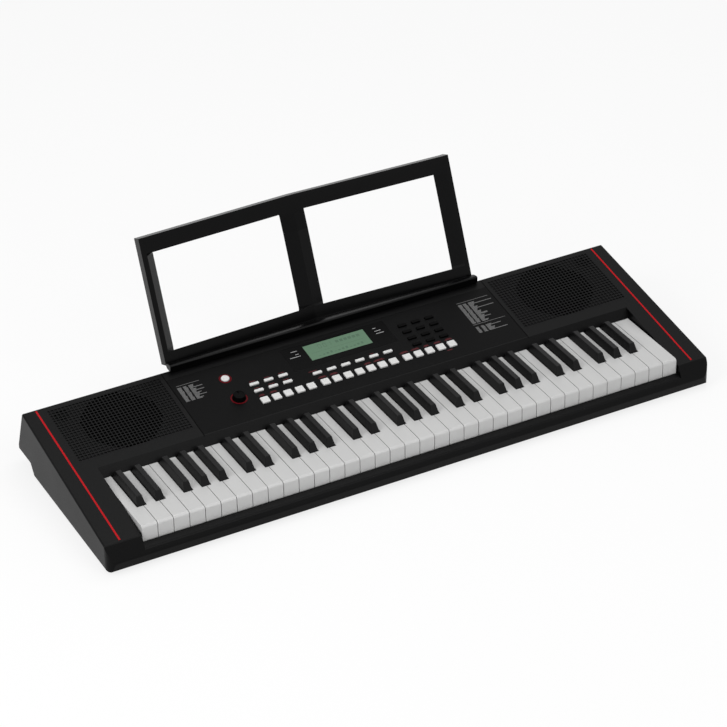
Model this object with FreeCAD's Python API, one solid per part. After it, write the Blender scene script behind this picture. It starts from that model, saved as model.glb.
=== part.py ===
"""Arranger keyboard with a sloped control panel, built-in speakers and a lift-off music rest.

Lengths are millimetres. While it is drawn, X runs along the keys from their middle, Y runs from
the white key fronts to the rear and Z rises from the surface that the feet stand on. At the end
everything moves along Y, so that the origin lies under the middle of the whole outline.
"""
import FreeCAD, Part
import math
import os

Vector = FreeCAD.Vector
os.makedirs("parts", exist_ok=True)

# Case outline
front_end_width = 53.5       # case beside the keys at its front face
side_taper = 5.0             # each side comes in by this from the front face to the rear foot
foot_height = 6.0            # surface to the lower rim of the case
rim_to_key_top = 49.0        # lower rim to the white key tops
front_overhang = 15.0        # fullest line of the front ahead of the white key fronts
brow_overhang = 3.0          # crease above the slanted front, ahead of the white key fronts
chin_height = 14.0           # fullest line of the front above the lower rim
chin_setback = 2.7           # lower rim behind the fullest line of the front
panel_edge_setback = 138.0   # white key fronts to the front edge of the sloped panel
panel_edge_rise = 14.0       # panel front edge above the white key tops
panel_slope = 9.85           # degrees
panel_depth = 142.8          # along the slope
rear_lean = 28.5             # the rear face runs back by this from top to foot
heel_setback = 250.0         # white key fronts to the rear end of the flat bottom
heel_run = 11.0
heel_rise = 15.3             # rear overhang above the lower rim
brow_radius = 2.5
chin_radius = 6.0
rim_radius = 2.5
rear_top_radius = 3.0
front_corner_radius = 14.0
rear_corner_radius = 6.0
top_edge_radius = 2.2
wall = 2.8
roof = 3.2
base_wall = 3.0
case_gap = 0.35              # between the upper case and the pan that closes it
slack = 0.3                  # between pieces that move past each other
cut_over = 5.0               # cuts run past the faces they open by this
weld_lap = 0.25              # pieces of one moulding run into each other by this
point_tolerance = 0.001      # ends of an outline closer than this are one point
full_turn = 360.0            # degrees

# Keyboard
octave_count = 5
keys_middle = 3.2            # middle of the keys to the right of the middle of the case
white_pitch = 23.5
key_gap = 1.0
white_head_length = 44.3     # full width part, up to the notches for the black keys
key_length = 176.0
key_depth = 12.0             # white key top to the lower edge of its sides
key_lip_depth = 26.0         # white key top to the lower edge of its front
key_skin = 2.4
key_side = 1.6
key_nose_radius = 4.0
black_front_gap = 1.5        # notch to the foot of the black key's front
black_foot_width = 13.0
black_top_width = 8.0
black_rise = 12.5            # black key top above the white key tops
black_front_run = 6.0        # foot to top along the sloped front
black_cap_rear = 127.0       # white key fronts to the foot of the black key's sloped rear
black_rear_run = 6.0
black_edge_radius = 1.1
black_lever_drop = 0.5       # black lever top below the white key tops
key_pivot_setback = 170.0
key_pivot_drop = 11.0        # pivot axis below the white key tops
pivot_rib_radius = 2.0
key_dip = 10.0

# Key well
well_side_gap = 1.5
well_front_gap = 1.2
rail_reveal = 23.2           # white key fronts shown above the front rail
rail_round = 5.0
rail_fall = 4.3              # rail top drops by this from the keys to the slanted front
fascia_foot_setback = 129.5
fascia_foot_rise = 1.2       # fascia foot above the white key tops

# Key chassis, contacts and felts
chassis_side_gap = 1.0
chassis_sheet = 2.4
chassis_lift = 7.0           # above the pan
chassis_front = 8.0
stop_beam_front = 12.0
stop_beam_width = 24.0
felt_thickness = 2.5
felt_margin = 2.0
stop_clearance = 0.4
deck_front = 96.0
deck_width = 44.0
deck_drop = 10.6             # contact deck below the white keys' lower edges
board_thickness = 1.6
contact_strip_front = 112.0
contact_strip_width = 14.0
contact_strip_height = 5.0
contact_board_margin = 2.0
contact_strip_gap = 4.0
upper_felt_thickness = 0.9

# Control panel and its controls, placed by distance along X and up the slope
panel_half_width = 260.2      # middle to the seams at both ends of the control panel
panel_front_margin = 2.5
panel_rear = 124.0
panel_gap = 0.3
ledge_width = 5.0
ledge_thickness = 2.0
seam_width = 0.9
seam_depth = 0.8
button_travel = 1.2
button_height = 2.0
button_round = 1.2
button_flange = 1.0
button_flange_margin = 1.0
button_flange_drop = 0.4
button_stem_width = 3.6
button_stem_reach = 3.6      # below the flange
square_button = (12.0, 12.0)
small_button = (14.0, 4.8)
number_button = (13.6, 5.6)
square_pitch = 18.28
square_group_start = 77.3    # first button of each outer group from the middle
outer_square_count = 5
middle_square_count = 7
middle_small_count = 6
left_small_columns = 3
left_small_rows = 2
number_columns = 3
number_rows = 4
square_row = 31.4
small_pitch = 22.75
small_row = 53.2
left_small_start = -149.5
left_small_row_pitch = 15.0
number_start = 103.9
number_pitch = 22.25
number_row = 51.6
number_row_pitch = 15.0
dial_place = (-182.1, 50.0)
dial_foot_radius = 9.6
dial_top_radius = 8.6
dial_height = 7.4
dial_lift = 0.4
dial_edge_radius = 1.2
dial_mark_width = 1.2
dial_mark_depth = 0.5
dial_mark_length = 5.0
shaft_radius = 3.0
shaft_running_gap = 0.06
shaft_grip = 5.0             # shaft inside the knob
pot_width = 16.0
pot_height = 7.0
pot_bush_radius = 4.5
power_place = (-182.0, 94.9)
power_radius = 6.1
ring_width = 2.1
ring_gap = 0.6
ring_thickness = 0.7
ring_proud = 0.25
switch_width = 6.0
switch_height = 3.4
plunger_radius = 1.7
board_drop = 13.0            # panel top to the upper face of the switch board
board_half_width = 206.0
board_front = 14.0
board_rear = 119.0
board_post_radius = 3.2
board_post_x_shares = (-0.96, -0.36, 0.36, 0.96)
board_post_front = 17.5
board_post_rear = 115.0

# Display
window_half_width = 83.6
window_shift = -1.2           # middle of the window from the middle of the panel
window_front = 69.0
window_rear = 118.0
window_thickness = 1.4
window_corner = 3.0
lcd_middle = -1.5
lcd_width = 98.6
lcd_front = 80.2
lcd_height = 33.4
lcd_sink = 0.6               # glass below the window's face
lcd_glass = 2.2
lcd_frame_margin = 4.0
lcd_module_depth = 6.0

# Speakers and grilles
grille_seam_margin = 6.5
grille_end_margin = 33.8     # to the side of the case at its rear foot
grille_front = 21.3
grille_rear = 134.7
speaker_hole_share = 0.518   # radius of the speaker hole over the depth of the grille
grille_thickness = 1.6
grille_pitch = 5.4
grille_hole = 3.9
speaker_shift = 2.0          # speaker nearer to the middle than its grille by this
speaker_flange = 116.0
speaker_flange_corner = 16.0
speaker_flange_thickness = 2.2
speaker_screw_offset = 51.5
speaker_boss_radius = 3.6
gasket_radius = 56.5
gasket_width = 5.0
gasket_height = 6.0
basket_radius = 50.0
basket_neck_radius = 28.0
basket_depth = 17.0
basket_sheet = 1.4
magnet_radius = 30.0
magnet_depth = 14.0
cone_rim_radius = 47.0
cone_sheet = 0.9
cone_neck_radius = 12.0
dust_cap_rise = 5.0

# Red inlays on the ends
strip_margin = 19.7          # to the side of the case at its rear foot
strip_width = 2.6
strip_depth = 1.0
strip_proud = 0.25
strip_front = -139.6         # along the slope from the panel's front edge
strip_rear = 139.4

# Music rest
rest_end_margin = 8.8        # ends of the rest inside the control panel's ends
rest_bow = 25.6              # the face's middle stands back by this, square to the face
rest_lean = 22.5             # degrees back from upright
rest_height = 185.2          # up the face
rest_thickness = 8.0
rest_face_setback = 287.25   # foot of the face at the rest's ends
rest_face_rise = 3.67        # the same foot above the panel's rear edge
rest_trough_gap = 0.4        # trough over the panel's rear edge
rest_floor = 3.2             # trough floor's thickness
rest_lip_setback = 272.0     # upper front edge of the trough's lip
rest_lip_height = 10.8
rest_lip_lean = 1.0
rest_lip_thickness = 3.2
rest_trough_radius = 3.0
rest_edge_radius = 1.2
window_post = 23.0
window_middle_half = 18.2
rest_window_low = 18.5
rest_window_high = 161.3
tab_end_margin = 30.6        # middle of each tab inside the end of the rest
tab_width = 40.0
tab_thickness = 2.6
tab_setback = 273.2          # front face of the tabs
tab_depth = 12.0             # into the case
tab_top = 4.0                # above the panel's rear edge
slot_gap = 0.4

# Rear sockets
socket_shelf = 7.5           # board above the pan under the rear overhang
socket_board_front = 257.0
socket_board_depth = 34.0
socket_board_start = 104.0
socket_board_width = 150.0
socket_post_radius = 3.5
socket_post_inset = 6.0
jack_offsets = (126.0, 158.0)
jack_width = 15.0
jack_body = 22.0
jack_height = 12.0
jack_bore_radius = 3.2
jack_bore_depth = 30.0
jack_bush_radius = 5.0
jack_proud = 1.5             # bush past the rear face
inlet_offset = 230.0
inlet_width = 10.0
inlet_bore_radius = 3.0
inlet_bore_depth = 10.0
inlet_pin_radius = 1.0
usb_offset = 192.0
usb_width = 12.0
usb_height = 11.0
usb_slot_width = 8.6
usb_slot_height = 7.8
usb_depth = 12.0
socket_gap = 0.4

# Boards, battery bay, feet and screws on the pan
main_board_start = -40.0
main_board_width = 130.0
main_board_front = 186.0
main_board_depth = 46.0
main_board_lift = 9.0
post_radius = 3.2
post_inset = 5.0
battery_diameter = 14.5
battery_length = 50.5
battery_rows = 2
battery_in_line = 3
battery_play = 1.5
battery_bay_start = -262.0
battery_bay_front = 188.0
battery_wall = 2.0
cover_thickness = 2.0
cover_lap = 4.0
cover_gap = 0.3
contact_plate = 0.6
ribbon_width = 30.0
ribbon_thickness = 0.8
ribbon_middle = 20.0
foot_radius = 10.0
foot_x_share = 0.9
foot_front = 18.0
foot_rear = 226.0
foot_sink = 1.0
foot_round = 1.0
screw_radius = 1.5
screw_head_radius = 3.0
screw_head_height = 1.7
screw_play = 0.3
screw_length = 12.0
short_screw_length = 5.5
boss_radius = 3.9
front_boss_setback = -5.2
end_boss_setback = 4.0
rear_boss_setback = 268.0
chassis_boss_shares = (-0.97, -0.33, 0.33, 0.97)
chassis_boss_rows = (50.0, 152.0)

# Places that follow from the sizes above
slope = math.radians(panel_slope)
rim_z = foot_height
pan_top = rim_z + base_wall
key_top = rim_z + rim_to_key_top
front_y = -front_overhang
chin_z = rim_z + chin_height
pan_front = front_y + chin_setback + wall
panel_edge_z = key_top + panel_edge_rise
rear_top_y = panel_edge_setback + panel_depth * math.cos(slope)
rear_top_z = panel_edge_z + panel_depth * math.sin(slope)
rear_foot_y = rear_top_y + rear_lean
rear_foot_z = rim_z + heel_rise
rear_pan_top = rear_foot_z + base_wall
under_y = heel_setback + heel_run
naturals = ("c", "d", "e", "f", "g", "a", "b")
white_count = octave_count * len(naturals) + 1
key_span = white_count * white_pitch
keys_low = keys_middle - key_span / 2
well_half = key_span / 2 + well_side_gap
well_low = keys_middle - well_half
well_high = keys_middle + well_half
front_width = key_span + 2 * front_end_width
rear_width = front_width - 2 * side_taper
grille_inner = panel_half_width + grille_seam_margin
grille_outer = rear_width / 2 - grille_end_margin
speaker_middle = (grille_inner + grille_outer) / 2 - speaker_shift
speaker_row = (grille_front + grille_rear) / 2
speaker_hole_radius = speaker_hole_share * (grille_rear - grille_front)
strip_offset = rear_width / 2 - strip_margin
rest_half_width = panel_half_width - rest_end_margin
tab_offset = rest_half_width - tab_end_margin
rail_top = key_top - rail_reveal
fascia_foot_z = key_top + fascia_foot_rise
fascia_run = panel_edge_setback - fascia_foot_setback
fascia_height = panel_edge_z - fascia_foot_z
pivot_z = key_top - key_pivot_drop
press_angle = math.asin(key_dip / key_pivot_setback)
key_underside = key_top - key_depth
panel_placement = FreeCAD.Placement(
    Vector(0, panel_edge_setback, panel_edge_z), FreeCAD.Rotation(Vector(1, 0, 0), panel_slope))


def panel_height(y):
    """Height of the sloped panel's face at a distance behind the white key fronts."""
    return panel_edge_z + (y - panel_edge_setback) * math.tan(slope)


def rear_face(z):
    """Distance of the leaning rear face behind the white key fronts at a height."""
    return rear_top_y + rear_lean * (rear_top_z - z) / (rear_top_z - rear_foot_z)


def brow_slope():
    """Rise of the slanted front face over its run."""
    return (panel_height(-brow_overhang) - chin_z) / (front_overhang - brow_overhang)


def slant_face(z):
    """Distance of the slanted front face behind the white key fronts at a height."""
    return front_y + (z - chin_z) / brow_slope()


def rounded_face(points, radii):
    """Flat face inside a closed outline, each corner rounded to its radius."""
    count = len(points)
    edges = []
    starts = []
    ends = []
    middles = []
    for i in range(count):
        corner = points[i]
        before = (points[i - 1] - corner).normalize()
        after = (points[(i + 1) % count] - corner).normalize()
        half_angle = before.getAngle(after) / 2
        if radii[i] == 0:
            starts.append(corner)
            ends.append(corner)
            middles.append(None)
            continue
        run = radii[i] / math.tan(half_angle)
        inward = (before + after).normalize()
        middles.append(corner + inward * (radii[i] / math.sin(half_angle) - radii[i]))
        starts.append(corner + before * run)
        ends.append(corner + after * run)
    for i in range(count):
        if middles[i] is not None:
            edges.append(Part.Arc(starts[i], middles[i], ends[i]).toShape())
        following = starts[(i + 1) % count]
        if (following - ends[i]).Length > point_tolerance:
            edges.append(Part.LineSegment(ends[i], following).toShape())
    return Part.Face(Part.Wire(edges))


def prism_x(outline, x_low, x_high, radii=None):
    """Solid with a side outline of (y, z) points, from one X to another."""
    points = [Vector(x_low, y, z) for y, z in outline]
    face = rounded_face(points, radii or [0] * len(points))
    return face.extrude(Vector(x_high - x_low, 0, 0))


def prism_z(outline, z_low, z_high, radii=None):
    """Solid with a plan outline of (x, y) points, from one height to another."""
    points = [Vector(x, y, z_low) for x, y in outline]
    face = rounded_face(points, radii or [0] * len(points))
    return face.extrude(Vector(0, 0, z_high - z_low))


def block(x_low, x_high, y_low, y_high, z_low, z_high):
    """Box between two corners."""
    return Part.makeBox(x_high - x_low, y_high - y_low, z_high - z_low, Vector(x_low, y_low, z_low))


def round_block(width, depth, z_low, z_high, radius, middle):
    """Block with rounded upright corners about a middle point (x, y)."""
    x, y = middle
    half_x = width / 2
    half_y = depth / 2
    outline = [(x - half_x, y - half_y), (x + half_x, y - half_y),
               (x + half_x, y + half_y), (x - half_x, y + half_y)]
    return prism_z(outline, z_low, z_high, [radius] * len(outline))


def post(radius, x, y, z_low, z_high):
    """Upright cylinder between two heights."""
    return Part.makeCylinder(radius, z_high - z_low, Vector(x, y, z_low))


def tube_y(radius, x, z, y_low, y_high):
    """Cylinder that lies along Y."""
    return Part.makeCylinder(radius, y_high - y_low, Vector(x, y_low, z), Vector(0, 1, 0))


def on_panel(shape):
    """Carry a shape drawn flat, with the slope as its Y and the panel face at zero, to the panel."""
    shape.Placement = panel_placement.multiply(shape.Placement)
    return shape


def mirrored(shape):
    """The same shape on the other side of the middle."""
    return shape.mirror(Vector(0, 0, 0), Vector(1, 0, 0))


def joined(shapes):
    """One solid from pieces that meet."""
    return shapes[0].multiFuse(shapes[1:]).removeSplitter()


def plan_outline(inset):
    """Case outline seen from above, drawn in by an inset, with its corner radii."""
    half_front = front_width / 2 - inset
    half_rear = rear_width / 2 - inset
    front = front_y + inset
    rear = rear_foot_y - inset
    outline = [(-half_front, front), (half_front, front), (half_rear, rear), (-half_rear, rear)]
    front_radius = front_corner_radius - inset
    rear_radius = rear_corner_radius - inset
    return outline, [front_radius, front_radius, rear_radius, rear_radius]


def plan_solid(inset):
    """Upright prism of the case plan, tall enough for the whole case."""
    outline, radii = plan_outline(inset)
    return prism_z(outline, rim_z - cut_over, rear_top_z + cut_over, radii)


def case_profile():
    """Side outline of the whole case with its corner radii."""
    outline = [(-brow_overhang, panel_height(-brow_overhang)), (front_y, chin_z),
               (front_y + chin_setback, rim_z), (heel_setback, rim_z), (under_y, rear_foot_z),
               (rear_foot_y, rear_foot_z), (rear_top_y, rear_top_z)]
    radii = [brow_radius, chin_radius, rim_radius, rim_radius, rim_radius, rim_radius, rear_top_radius]
    return outline, radii


def pan_band(thickness, front):
    """Side outline of a layer that lies on the case's underside behind its front wall."""
    lower = [(front, rim_z), (heel_setback, rim_z), (under_y, rear_foot_z), (rear_foot_y, rear_foot_z)]
    upper = [(y, z + thickness) for y, z in reversed(lower)]
    return lower + upper


def outer_case():
    """Whole case as a block with its outer edges rounded."""
    outline, radii = case_profile()
    half = front_width / 2 + cut_over
    plan, plan_radii = plan_outline(0)
    straight_sides = prism_z(plan, rim_z - cut_over, rear_top_z + cut_over)
    body = prism_x(outline, -half, half, radii).common(straight_sides)
    side_edges = []
    for edge in body.Edges:
        ends = [vertex.Point for vertex in edge.Vertexes]
        if min(p.x for p in ends) > well_half or max(p.x for p in ends) < -well_half:
            side_edges.append(edge)
    return body.makeFillet(top_edge_radius, side_edges).common(plan_solid(0))


def case_cavities():
    """Spaces inside the upper case: the key well, under the roof, in both ends and in the front rail."""
    high = rear_top_z + cut_over
    low = rim_z - cut_over
    inner_plan = plan_solid(wall)
    rail_edge = rail_top - rail_fall
    rail_start = (chin_z + rail_edge) / 2
    well = [(front_y - cut_over, rail_start), (slant_face(rail_start), rail_start),
            (slant_face(rail_edge), rail_edge), (-well_front_gap, rail_top), (-well_front_gap, low),
            (fascia_foot_setback, low), (fascia_foot_setback, fascia_foot_z),
            (panel_edge_setback, panel_edge_z), (panel_edge_setback, high), (front_y - cut_over, high)]
    well_radii = [0, 0, rail_round] + [0] * (len(well) - 3)
    key_well = prism_x(well, well_low, well_high, well_radii)

    roof_drop = roof / math.cos(slope)
    fascia_shift = wall * math.hypot(fascia_run, fascia_height) / fascia_height
    roof_front = fascia_foot_setback + fascia_shift
    lean = fascia_run / fascia_height
    tangent = math.tan(slope)
    rise = (panel_height(roof_front) - roof_drop - fascia_foot_z) / (1 - lean * tangent)
    rear_in_top = rear_top_y - wall
    rear_in_low = rear_face(low) - wall
    under_roof = [(fascia_foot_setback, low), (fascia_foot_setback, fascia_foot_z),
                  (roof_front, fascia_foot_z), (roof_front + rise * lean, fascia_foot_z + rise),
                  (rear_in_top, panel_height(rear_in_top) - roof_drop), (rear_in_low, low)]
    roof_space = prism_x(under_roof, well_low, well_high).common(inner_plan)

    slant_wall = wall * math.hypot(1, 1 / brow_slope())
    slant_in = front_y + slant_wall
    foot_in = slant_in + chin_setback * (chin_z - low) / chin_height
    brow_in = slant_in + (panel_height(slant_in) - roof_drop - chin_z) / (brow_slope() - tangent)
    end_outline = [(foot_in, low), (slant_in, chin_z), (brow_in, panel_height(brow_in) - roof_drop),
                   (rear_in_top, panel_height(rear_in_top) - roof_drop), (rear_in_low, low)]
    half = front_width / 2
    right_end = prism_x(end_outline, well_high + wall, half).common(inner_plan)
    left_end = prism_x(end_outline, -half, well_low - wall).common(inner_plan)
    joint_y = roof_front + rise * lean
    behind_outline = [(joint_y, low), (joint_y, fascia_foot_z + rise),
                      (rear_in_top, panel_height(rear_in_top) - roof_drop), (rear_in_low, low)]
    behind_wall = prism_x(behind_outline, -half, half).common(inner_plan)
    rail_back = -well_front_gap - wall
    rail_slope = rail_fall / (-well_front_gap - slant_face(rail_edge))
    rail_outline = [(foot_in, low), (slant_in, chin_z),
                    (slant_face(rail_edge - wall) + slant_wall, rail_edge - wall),
                    (rail_back, rail_top - wall * rail_slope - wall), (rail_back, low)]
    rail_space = prism_x(rail_outline, well_low - cut_over, well_high + cut_over)
    return [key_well, roof_space, right_end, left_end, rail_space, behind_wall]


def boss_places(setback):
    """Screw bosses in a row across the case: in the middle, beside the speakers and in the ends."""
    near = (grille_inner + speaker_middle - speaker_flange / 2) / 2
    far = (speaker_middle + speaker_flange / 2 + rear_width / 2 - wall) / 2
    return [(x, setback) for x in (-far, -near, 0, near, far)]


def front_bosses():
    """Screw bosses along the front rail and, further back, in both ends."""
    places = []
    for x, y in boss_places(front_boss_setback):
        in_rail = well_low < x < well_high
        places.append((x, y if in_rail else end_boss_setback))
    return places


def grille_outline(margin):
    """Right grille's place on the panel as (width, depth, middle), with a margin all round."""
    width = grille_outer - grille_inner + 2 * margin
    depth = grille_rear - grille_front + 2 * margin
    return width, depth, ((grille_inner + grille_outer) / 2, (grille_front + grille_rear) / 2)


def make_upper_case():
    """Top shell with the key well, front rail, both ends, panel opening and speaker seats."""
    case = outer_case().cut(case_cavities())
    half = front_width / 2
    pan_space = prism_x(pan_band(base_wall + case_gap, pan_front), -half, half).common(plan_solid(wall))
    case = case.cut(pan_space)

    opening_half = panel_half_width + panel_gap
    low_s = panel_front_margin - panel_gap
    high_s = panel_rear + panel_gap
    ledge_low = -roof - ledge_thickness
    ledge = block(-opening_half - ledge_width, opening_half + ledge_width, low_s + ledge_width,
                  high_s + ledge_width, ledge_low, -roof + weld_lap)
    ledge_hole = block(-opening_half + ledge_width, opening_half - ledge_width,
                       low_s + 2 * ledge_width, high_s - ledge_width, ledge_low - cut_over, cut_over)
    opening = block(-opening_half, opening_half, low_s, high_s, -roof, cut_over)
    front_gap = block(-opening_half, opening_half, low_s, low_s + ledge_width, -roof - cut_over, cut_over)
    additions = [on_panel(ledge.cut([ledge_hole, front_gap]))]
    cuts = [on_panel(opening), on_panel(ledge_hole), on_panel(front_gap)]
    for side in (-1, 1):
        x = side * panel_half_width
        seam = block(x - seam_width / 2, x + seam_width / 2, panel_rear, panel_depth + cut_over,
                     -seam_depth, cut_over)
        cuts.append(on_panel(seam))
        strip_x = side * strip_offset
        groove = block(strip_x - strip_width / 2, strip_x + strip_width / 2, strip_front, strip_rear,
                       -strip_depth, cut_over)
        cuts.append(on_panel(groove))

    width, depth, middle = grille_outline(panel_gap)
    recess = round_block(width, depth, -grille_thickness, cut_over, rim_radius, middle)
    sound_hole = post(speaker_hole_radius, speaker_middle, speaker_row, -roof - cut_over, cut_over)
    for shape in (recess, sound_hole):
        cuts.append(on_panel(mirrored(shape)))
        cuts.append(on_panel(shape))
    for x, y in speaker_screws():
        boss = post(speaker_boss_radius, x, y, -roof - gasket_height, -roof + weld_lap)
        pilot = post(screw_radius, x, y, -roof - gasket_height, screw_tip())
        additions.append(on_panel(boss))
        cuts.append(on_panel(pilot))

    inner_plan = plan_solid(wall / 2)
    for x, y in front_bosses():
        top = panel_height(y) - roof / 2
        if y == front_boss_setback:
            top = pan_top + screw_length + wall / 2
        additions.append(post(boss_radius, x, y, pan_top, top))
        cuts.append(post(screw_radius, x, y, pan_top, pan_top + screw_length))
    for x, y in boss_places(rear_boss_setback):
        additions.append(post(boss_radius, x, y, rear_pan_top, panel_height(y) - roof / 2))
        cuts.append(post(screw_radius, x, y, rear_pan_top, rear_pan_top + screw_length))

    slot_low = tab_setback - slot_gap
    slot_high = tab_setback + tab_thickness + slot_gap
    for side in (-1, 1):
        middle_x = side * tab_offset
        reach = tab_width / 2 + slot_gap
        cuts.append(block(middle_x - reach, middle_x + reach, slot_low, slot_high,
                          rear_top_z - tab_depth - cut_over, rear_top_z + cut_over))
    case = case.multiFuse([piece.common(inner_plan) for piece in additions])
    case = case.cut(cuts + rear_openings())
    return case.removeSplitter()


def screw_tip():
    """Height of a speaker screw's tip, drawn flat with the panel face at zero."""
    return -roof - gasket_height + short_screw_length - speaker_flange_thickness


def speaker_screws():
    """Places of the speaker screws on the panel."""
    places = []
    for middle in (-speaker_middle, speaker_middle):
        for x in (middle - speaker_screw_offset, middle + speaker_screw_offset):
            for y in (speaker_row - speaker_screw_offset, speaker_row + speaker_screw_offset):
                places.append((x, y))
    return places


def socket_height():
    """Height of the rear sockets' axes."""
    return rear_pan_top + socket_shelf + board_thickness + jack_height / 2


def rear_openings():
    """Holes through the rear face for the sockets."""
    z = socket_height()
    low = rear_face(z) - 4 * wall
    high = rear_face(z) + cut_over
    holes = [tube_y(jack_bush_radius + socket_gap, x, z, low, high) for x in jack_offsets]
    for x, width, height in ((inlet_offset, inlet_width, jack_height), (usb_offset, usb_width, usb_height)):
        half = width / 2 + socket_gap
        rise = height / 2 + socket_gap
        holes.append(block(x - half, x + half, low, high, z - rise, z + rise))
    return holes


def battery_bay():
    """Size and place of the battery bay as (x_low, x_high, y_low, y_high, height)."""
    length = battery_in_line * battery_length + 2 * battery_play + 2 * contact_plate
    width = battery_rows * battery_diameter + 2 * battery_play
    return (battery_bay_start, battery_bay_start + length, battery_bay_front,
            battery_bay_front + width, battery_diameter + battery_play)


def foot_places():
    """Places of the rubber feet under the pan."""
    half = foot_x_share * rear_width / 2
    return [(x, y) for x in (-half, 0, half) for y in (foot_front, foot_rear)]


def chassis_boss_places():
    """Places where the key chassis is screwed to the pan."""
    half = key_span / 2
    return [(keys_middle + share * half, y) for share in chassis_boss_shares for y in chassis_boss_rows]


def corner_places(start, width, front, depth, inset):
    """Four places inside the corners of a board."""
    xs = (start + inset, start + width - inset)
    ys = (front + inset, front + depth - inset)
    return [(x, y) for x in xs for y in ys]


def main_board_posts():
    """Corner posts of the main board."""
    return corner_places(main_board_start, main_board_width, main_board_front, main_board_depth, post_inset)


def socket_board_posts():
    """Corner posts of the socket board."""
    return corner_places(socket_board_start, socket_board_width, under_y, socket_board_front
                         + socket_board_depth - under_y, socket_post_inset)


def make_lower_case():
    """Pan that closes the case from below, with posts for the boards and the battery bay."""
    half = front_width / 2
    outline, radii = case_profile()
    band = pan_band(base_wall, pan_front + case_gap)
    pan = prism_x(band, -half, half).common(plan_solid(wall + case_gap))
    pan = pan.common(prism_x(outline, -half, half, radii))
    additions = []
    cuts = []
    for x, y in chassis_boss_places():
        additions.append(post(boss_radius, x, y, pan_top - base_wall / 2, pan_top + chassis_lift))
        cuts.append(post(screw_radius, x, y, pan_top + chassis_lift + chassis_sheet - short_screw_length,
                         pan_top + chassis_lift))
    for x, y in main_board_posts():
        additions.append(post(post_radius, x, y, pan_top - base_wall / 2, pan_top + main_board_lift))
        top = pan_top + main_board_lift
        cuts.append(post(screw_radius, x, y, top + board_thickness - short_screw_length, top))
    for x, y in socket_board_posts():
        top = rear_pan_top + socket_shelf
        additions.append(post(socket_post_radius, x, y, rear_pan_top - base_wall / 2, top))
        cuts.append(post(screw_radius, x, y, top + board_thickness - short_screw_length, top))
    x_low, x_high, y_low, y_high, height = battery_bay()
    bay_top = rim_z + cover_thickness + height
    additions.append(block(x_low - battery_wall, x_high + battery_wall, y_low - battery_wall,
                           y_high + battery_wall, pan_top - base_wall / 2, bay_top + battery_wall))
    cuts.append(block(x_low, x_high, y_low, y_high, rim_z - cut_over, bay_top))
    lap = cover_lap + cover_gap
    cuts.append(block(x_low - lap, x_high + lap, y_low - lap, y_high + lap, rim_z - cut_over,
                      rim_z + cover_thickness))
    for places, floor in ((front_bosses(), rim_z), (boss_places(rear_boss_setback), rear_foot_z)):
        for x, y in places:
            cuts.append(post(screw_radius + screw_play, x, y, floor - cut_over, floor + 2 * base_wall))
            cuts.append(post(screw_head_radius + screw_play, x, y, floor - cut_over,
                             floor + screw_head_height + screw_play))
    for x, y in foot_places():
        cuts.append(post(foot_radius, x, y, rim_z - cut_over, rim_z + foot_sink))
    return pan.multiFuse(additions).cut(cuts).removeSplitter()


def make_battery_cover():
    """Cover that closes the battery bay flush with the pan."""
    x_low, x_high, y_low, y_high, height = battery_bay()
    width = x_high - x_low + 2 * cover_lap
    depth = y_high - y_low + 2 * cover_lap
    middle = ((x_low + x_high) / 2, (y_low + y_high) / 2)
    return round_block(width, depth, rim_z, rim_z + cover_thickness, rim_radius, middle)


def make_battery_contacts():
    """Spring plates at both ends of each row of cells."""
    x_low, x_high, y_low, y_high, height = battery_bay()
    plates = []
    for row in range(battery_rows):
        middle = y_low + battery_play + (row + 1 / 2) * battery_diameter
        reach = battery_diameter / 2 - battery_play
        top = rim_z + cover_thickness + height
        bottom = top - battery_diameter
        plates.append(block(x_low, x_low + contact_plate, middle - reach, middle + reach, bottom, top))
        plates.append(block(x_high - contact_plate, x_high, middle - reach, middle + reach, bottom, top))
    return plates


def stem_span(note):
    """Where a key's stem starts and ends in its octave, as distances from the octave's low side."""
    low_group = 3 * white_pitch
    high_group = 4 * white_pitch
    order = ("c", "c_sharp", "d", "d_sharp", "e", "f", "f_sharp", "g", "g_sharp", "a", "a_sharp", "b")
    place = order.index(note)
    low_stems = order.index("f")
    if place < low_stems:
        width = low_group / low_stems
        return place * width, (place + 1) * width
    width = high_group / (len(order) - low_stems)
    start = low_group + (place - low_stems) * width
    return start, start + width


def pivot_saddle(x_low, x_high):
    """Groove under a key's rear end that seats on the chassis rib."""
    radius = pivot_rib_radius + slack
    round_part = Part.makeCylinder(radius, x_high - x_low, Vector(x_low, key_pivot_setback, pivot_z),
                                   Vector(1, 0, 0))
    mouth = block(x_low, x_high, key_pivot_setback - radius, key_pivot_setback + radius,
                  pivot_z - cut_over, pivot_z)
    return [round_part, mouth]


def white_key(note, whole_rear=False):
    """White key hollow from below, drawn in the lowest octave."""
    low = naturals.index(note) * white_pitch + keys_low
    head_low = low + key_gap / 2
    head_high = low + white_pitch - key_gap / 2
    if whole_rear:
        stem_low, stem_high = head_low, head_high
    else:
        start, end = stem_span(note)
        stem_low = max(start + keys_low + key_gap / 2, head_low)
        stem_high = min(end + keys_low - key_gap / 2, head_high)
    head_outline = [(0, key_top - key_lip_depth), (0, key_top), (white_head_length, key_top),
                    (white_head_length, key_underside), (key_skin, key_underside),
                    (key_skin, key_top - key_lip_depth)]
    head = prism_x(head_outline, head_low, head_high, [0, key_nose_radius, 0, 0, 0, 0])
    stem = block(stem_low, stem_high, white_head_length / 2, key_length, key_underside, key_top)
    roof_z = key_top - key_skin
    rear = key_pivot_setback - 2 * pivot_rib_radius - key_skin
    pockets = [block(head_low + key_side, head_high - key_side, key_skin, white_head_length - key_side,
                     key_underside - cut_over, roof_z),
               block(stem_low + key_side, stem_high - key_side, white_head_length / 2, rear,
                     key_underside - cut_over, roof_z)]
    key = head.fuse(stem).cut(pockets + pivot_saddle(head_low, head_high))
    return key.removeSplitter()


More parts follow.
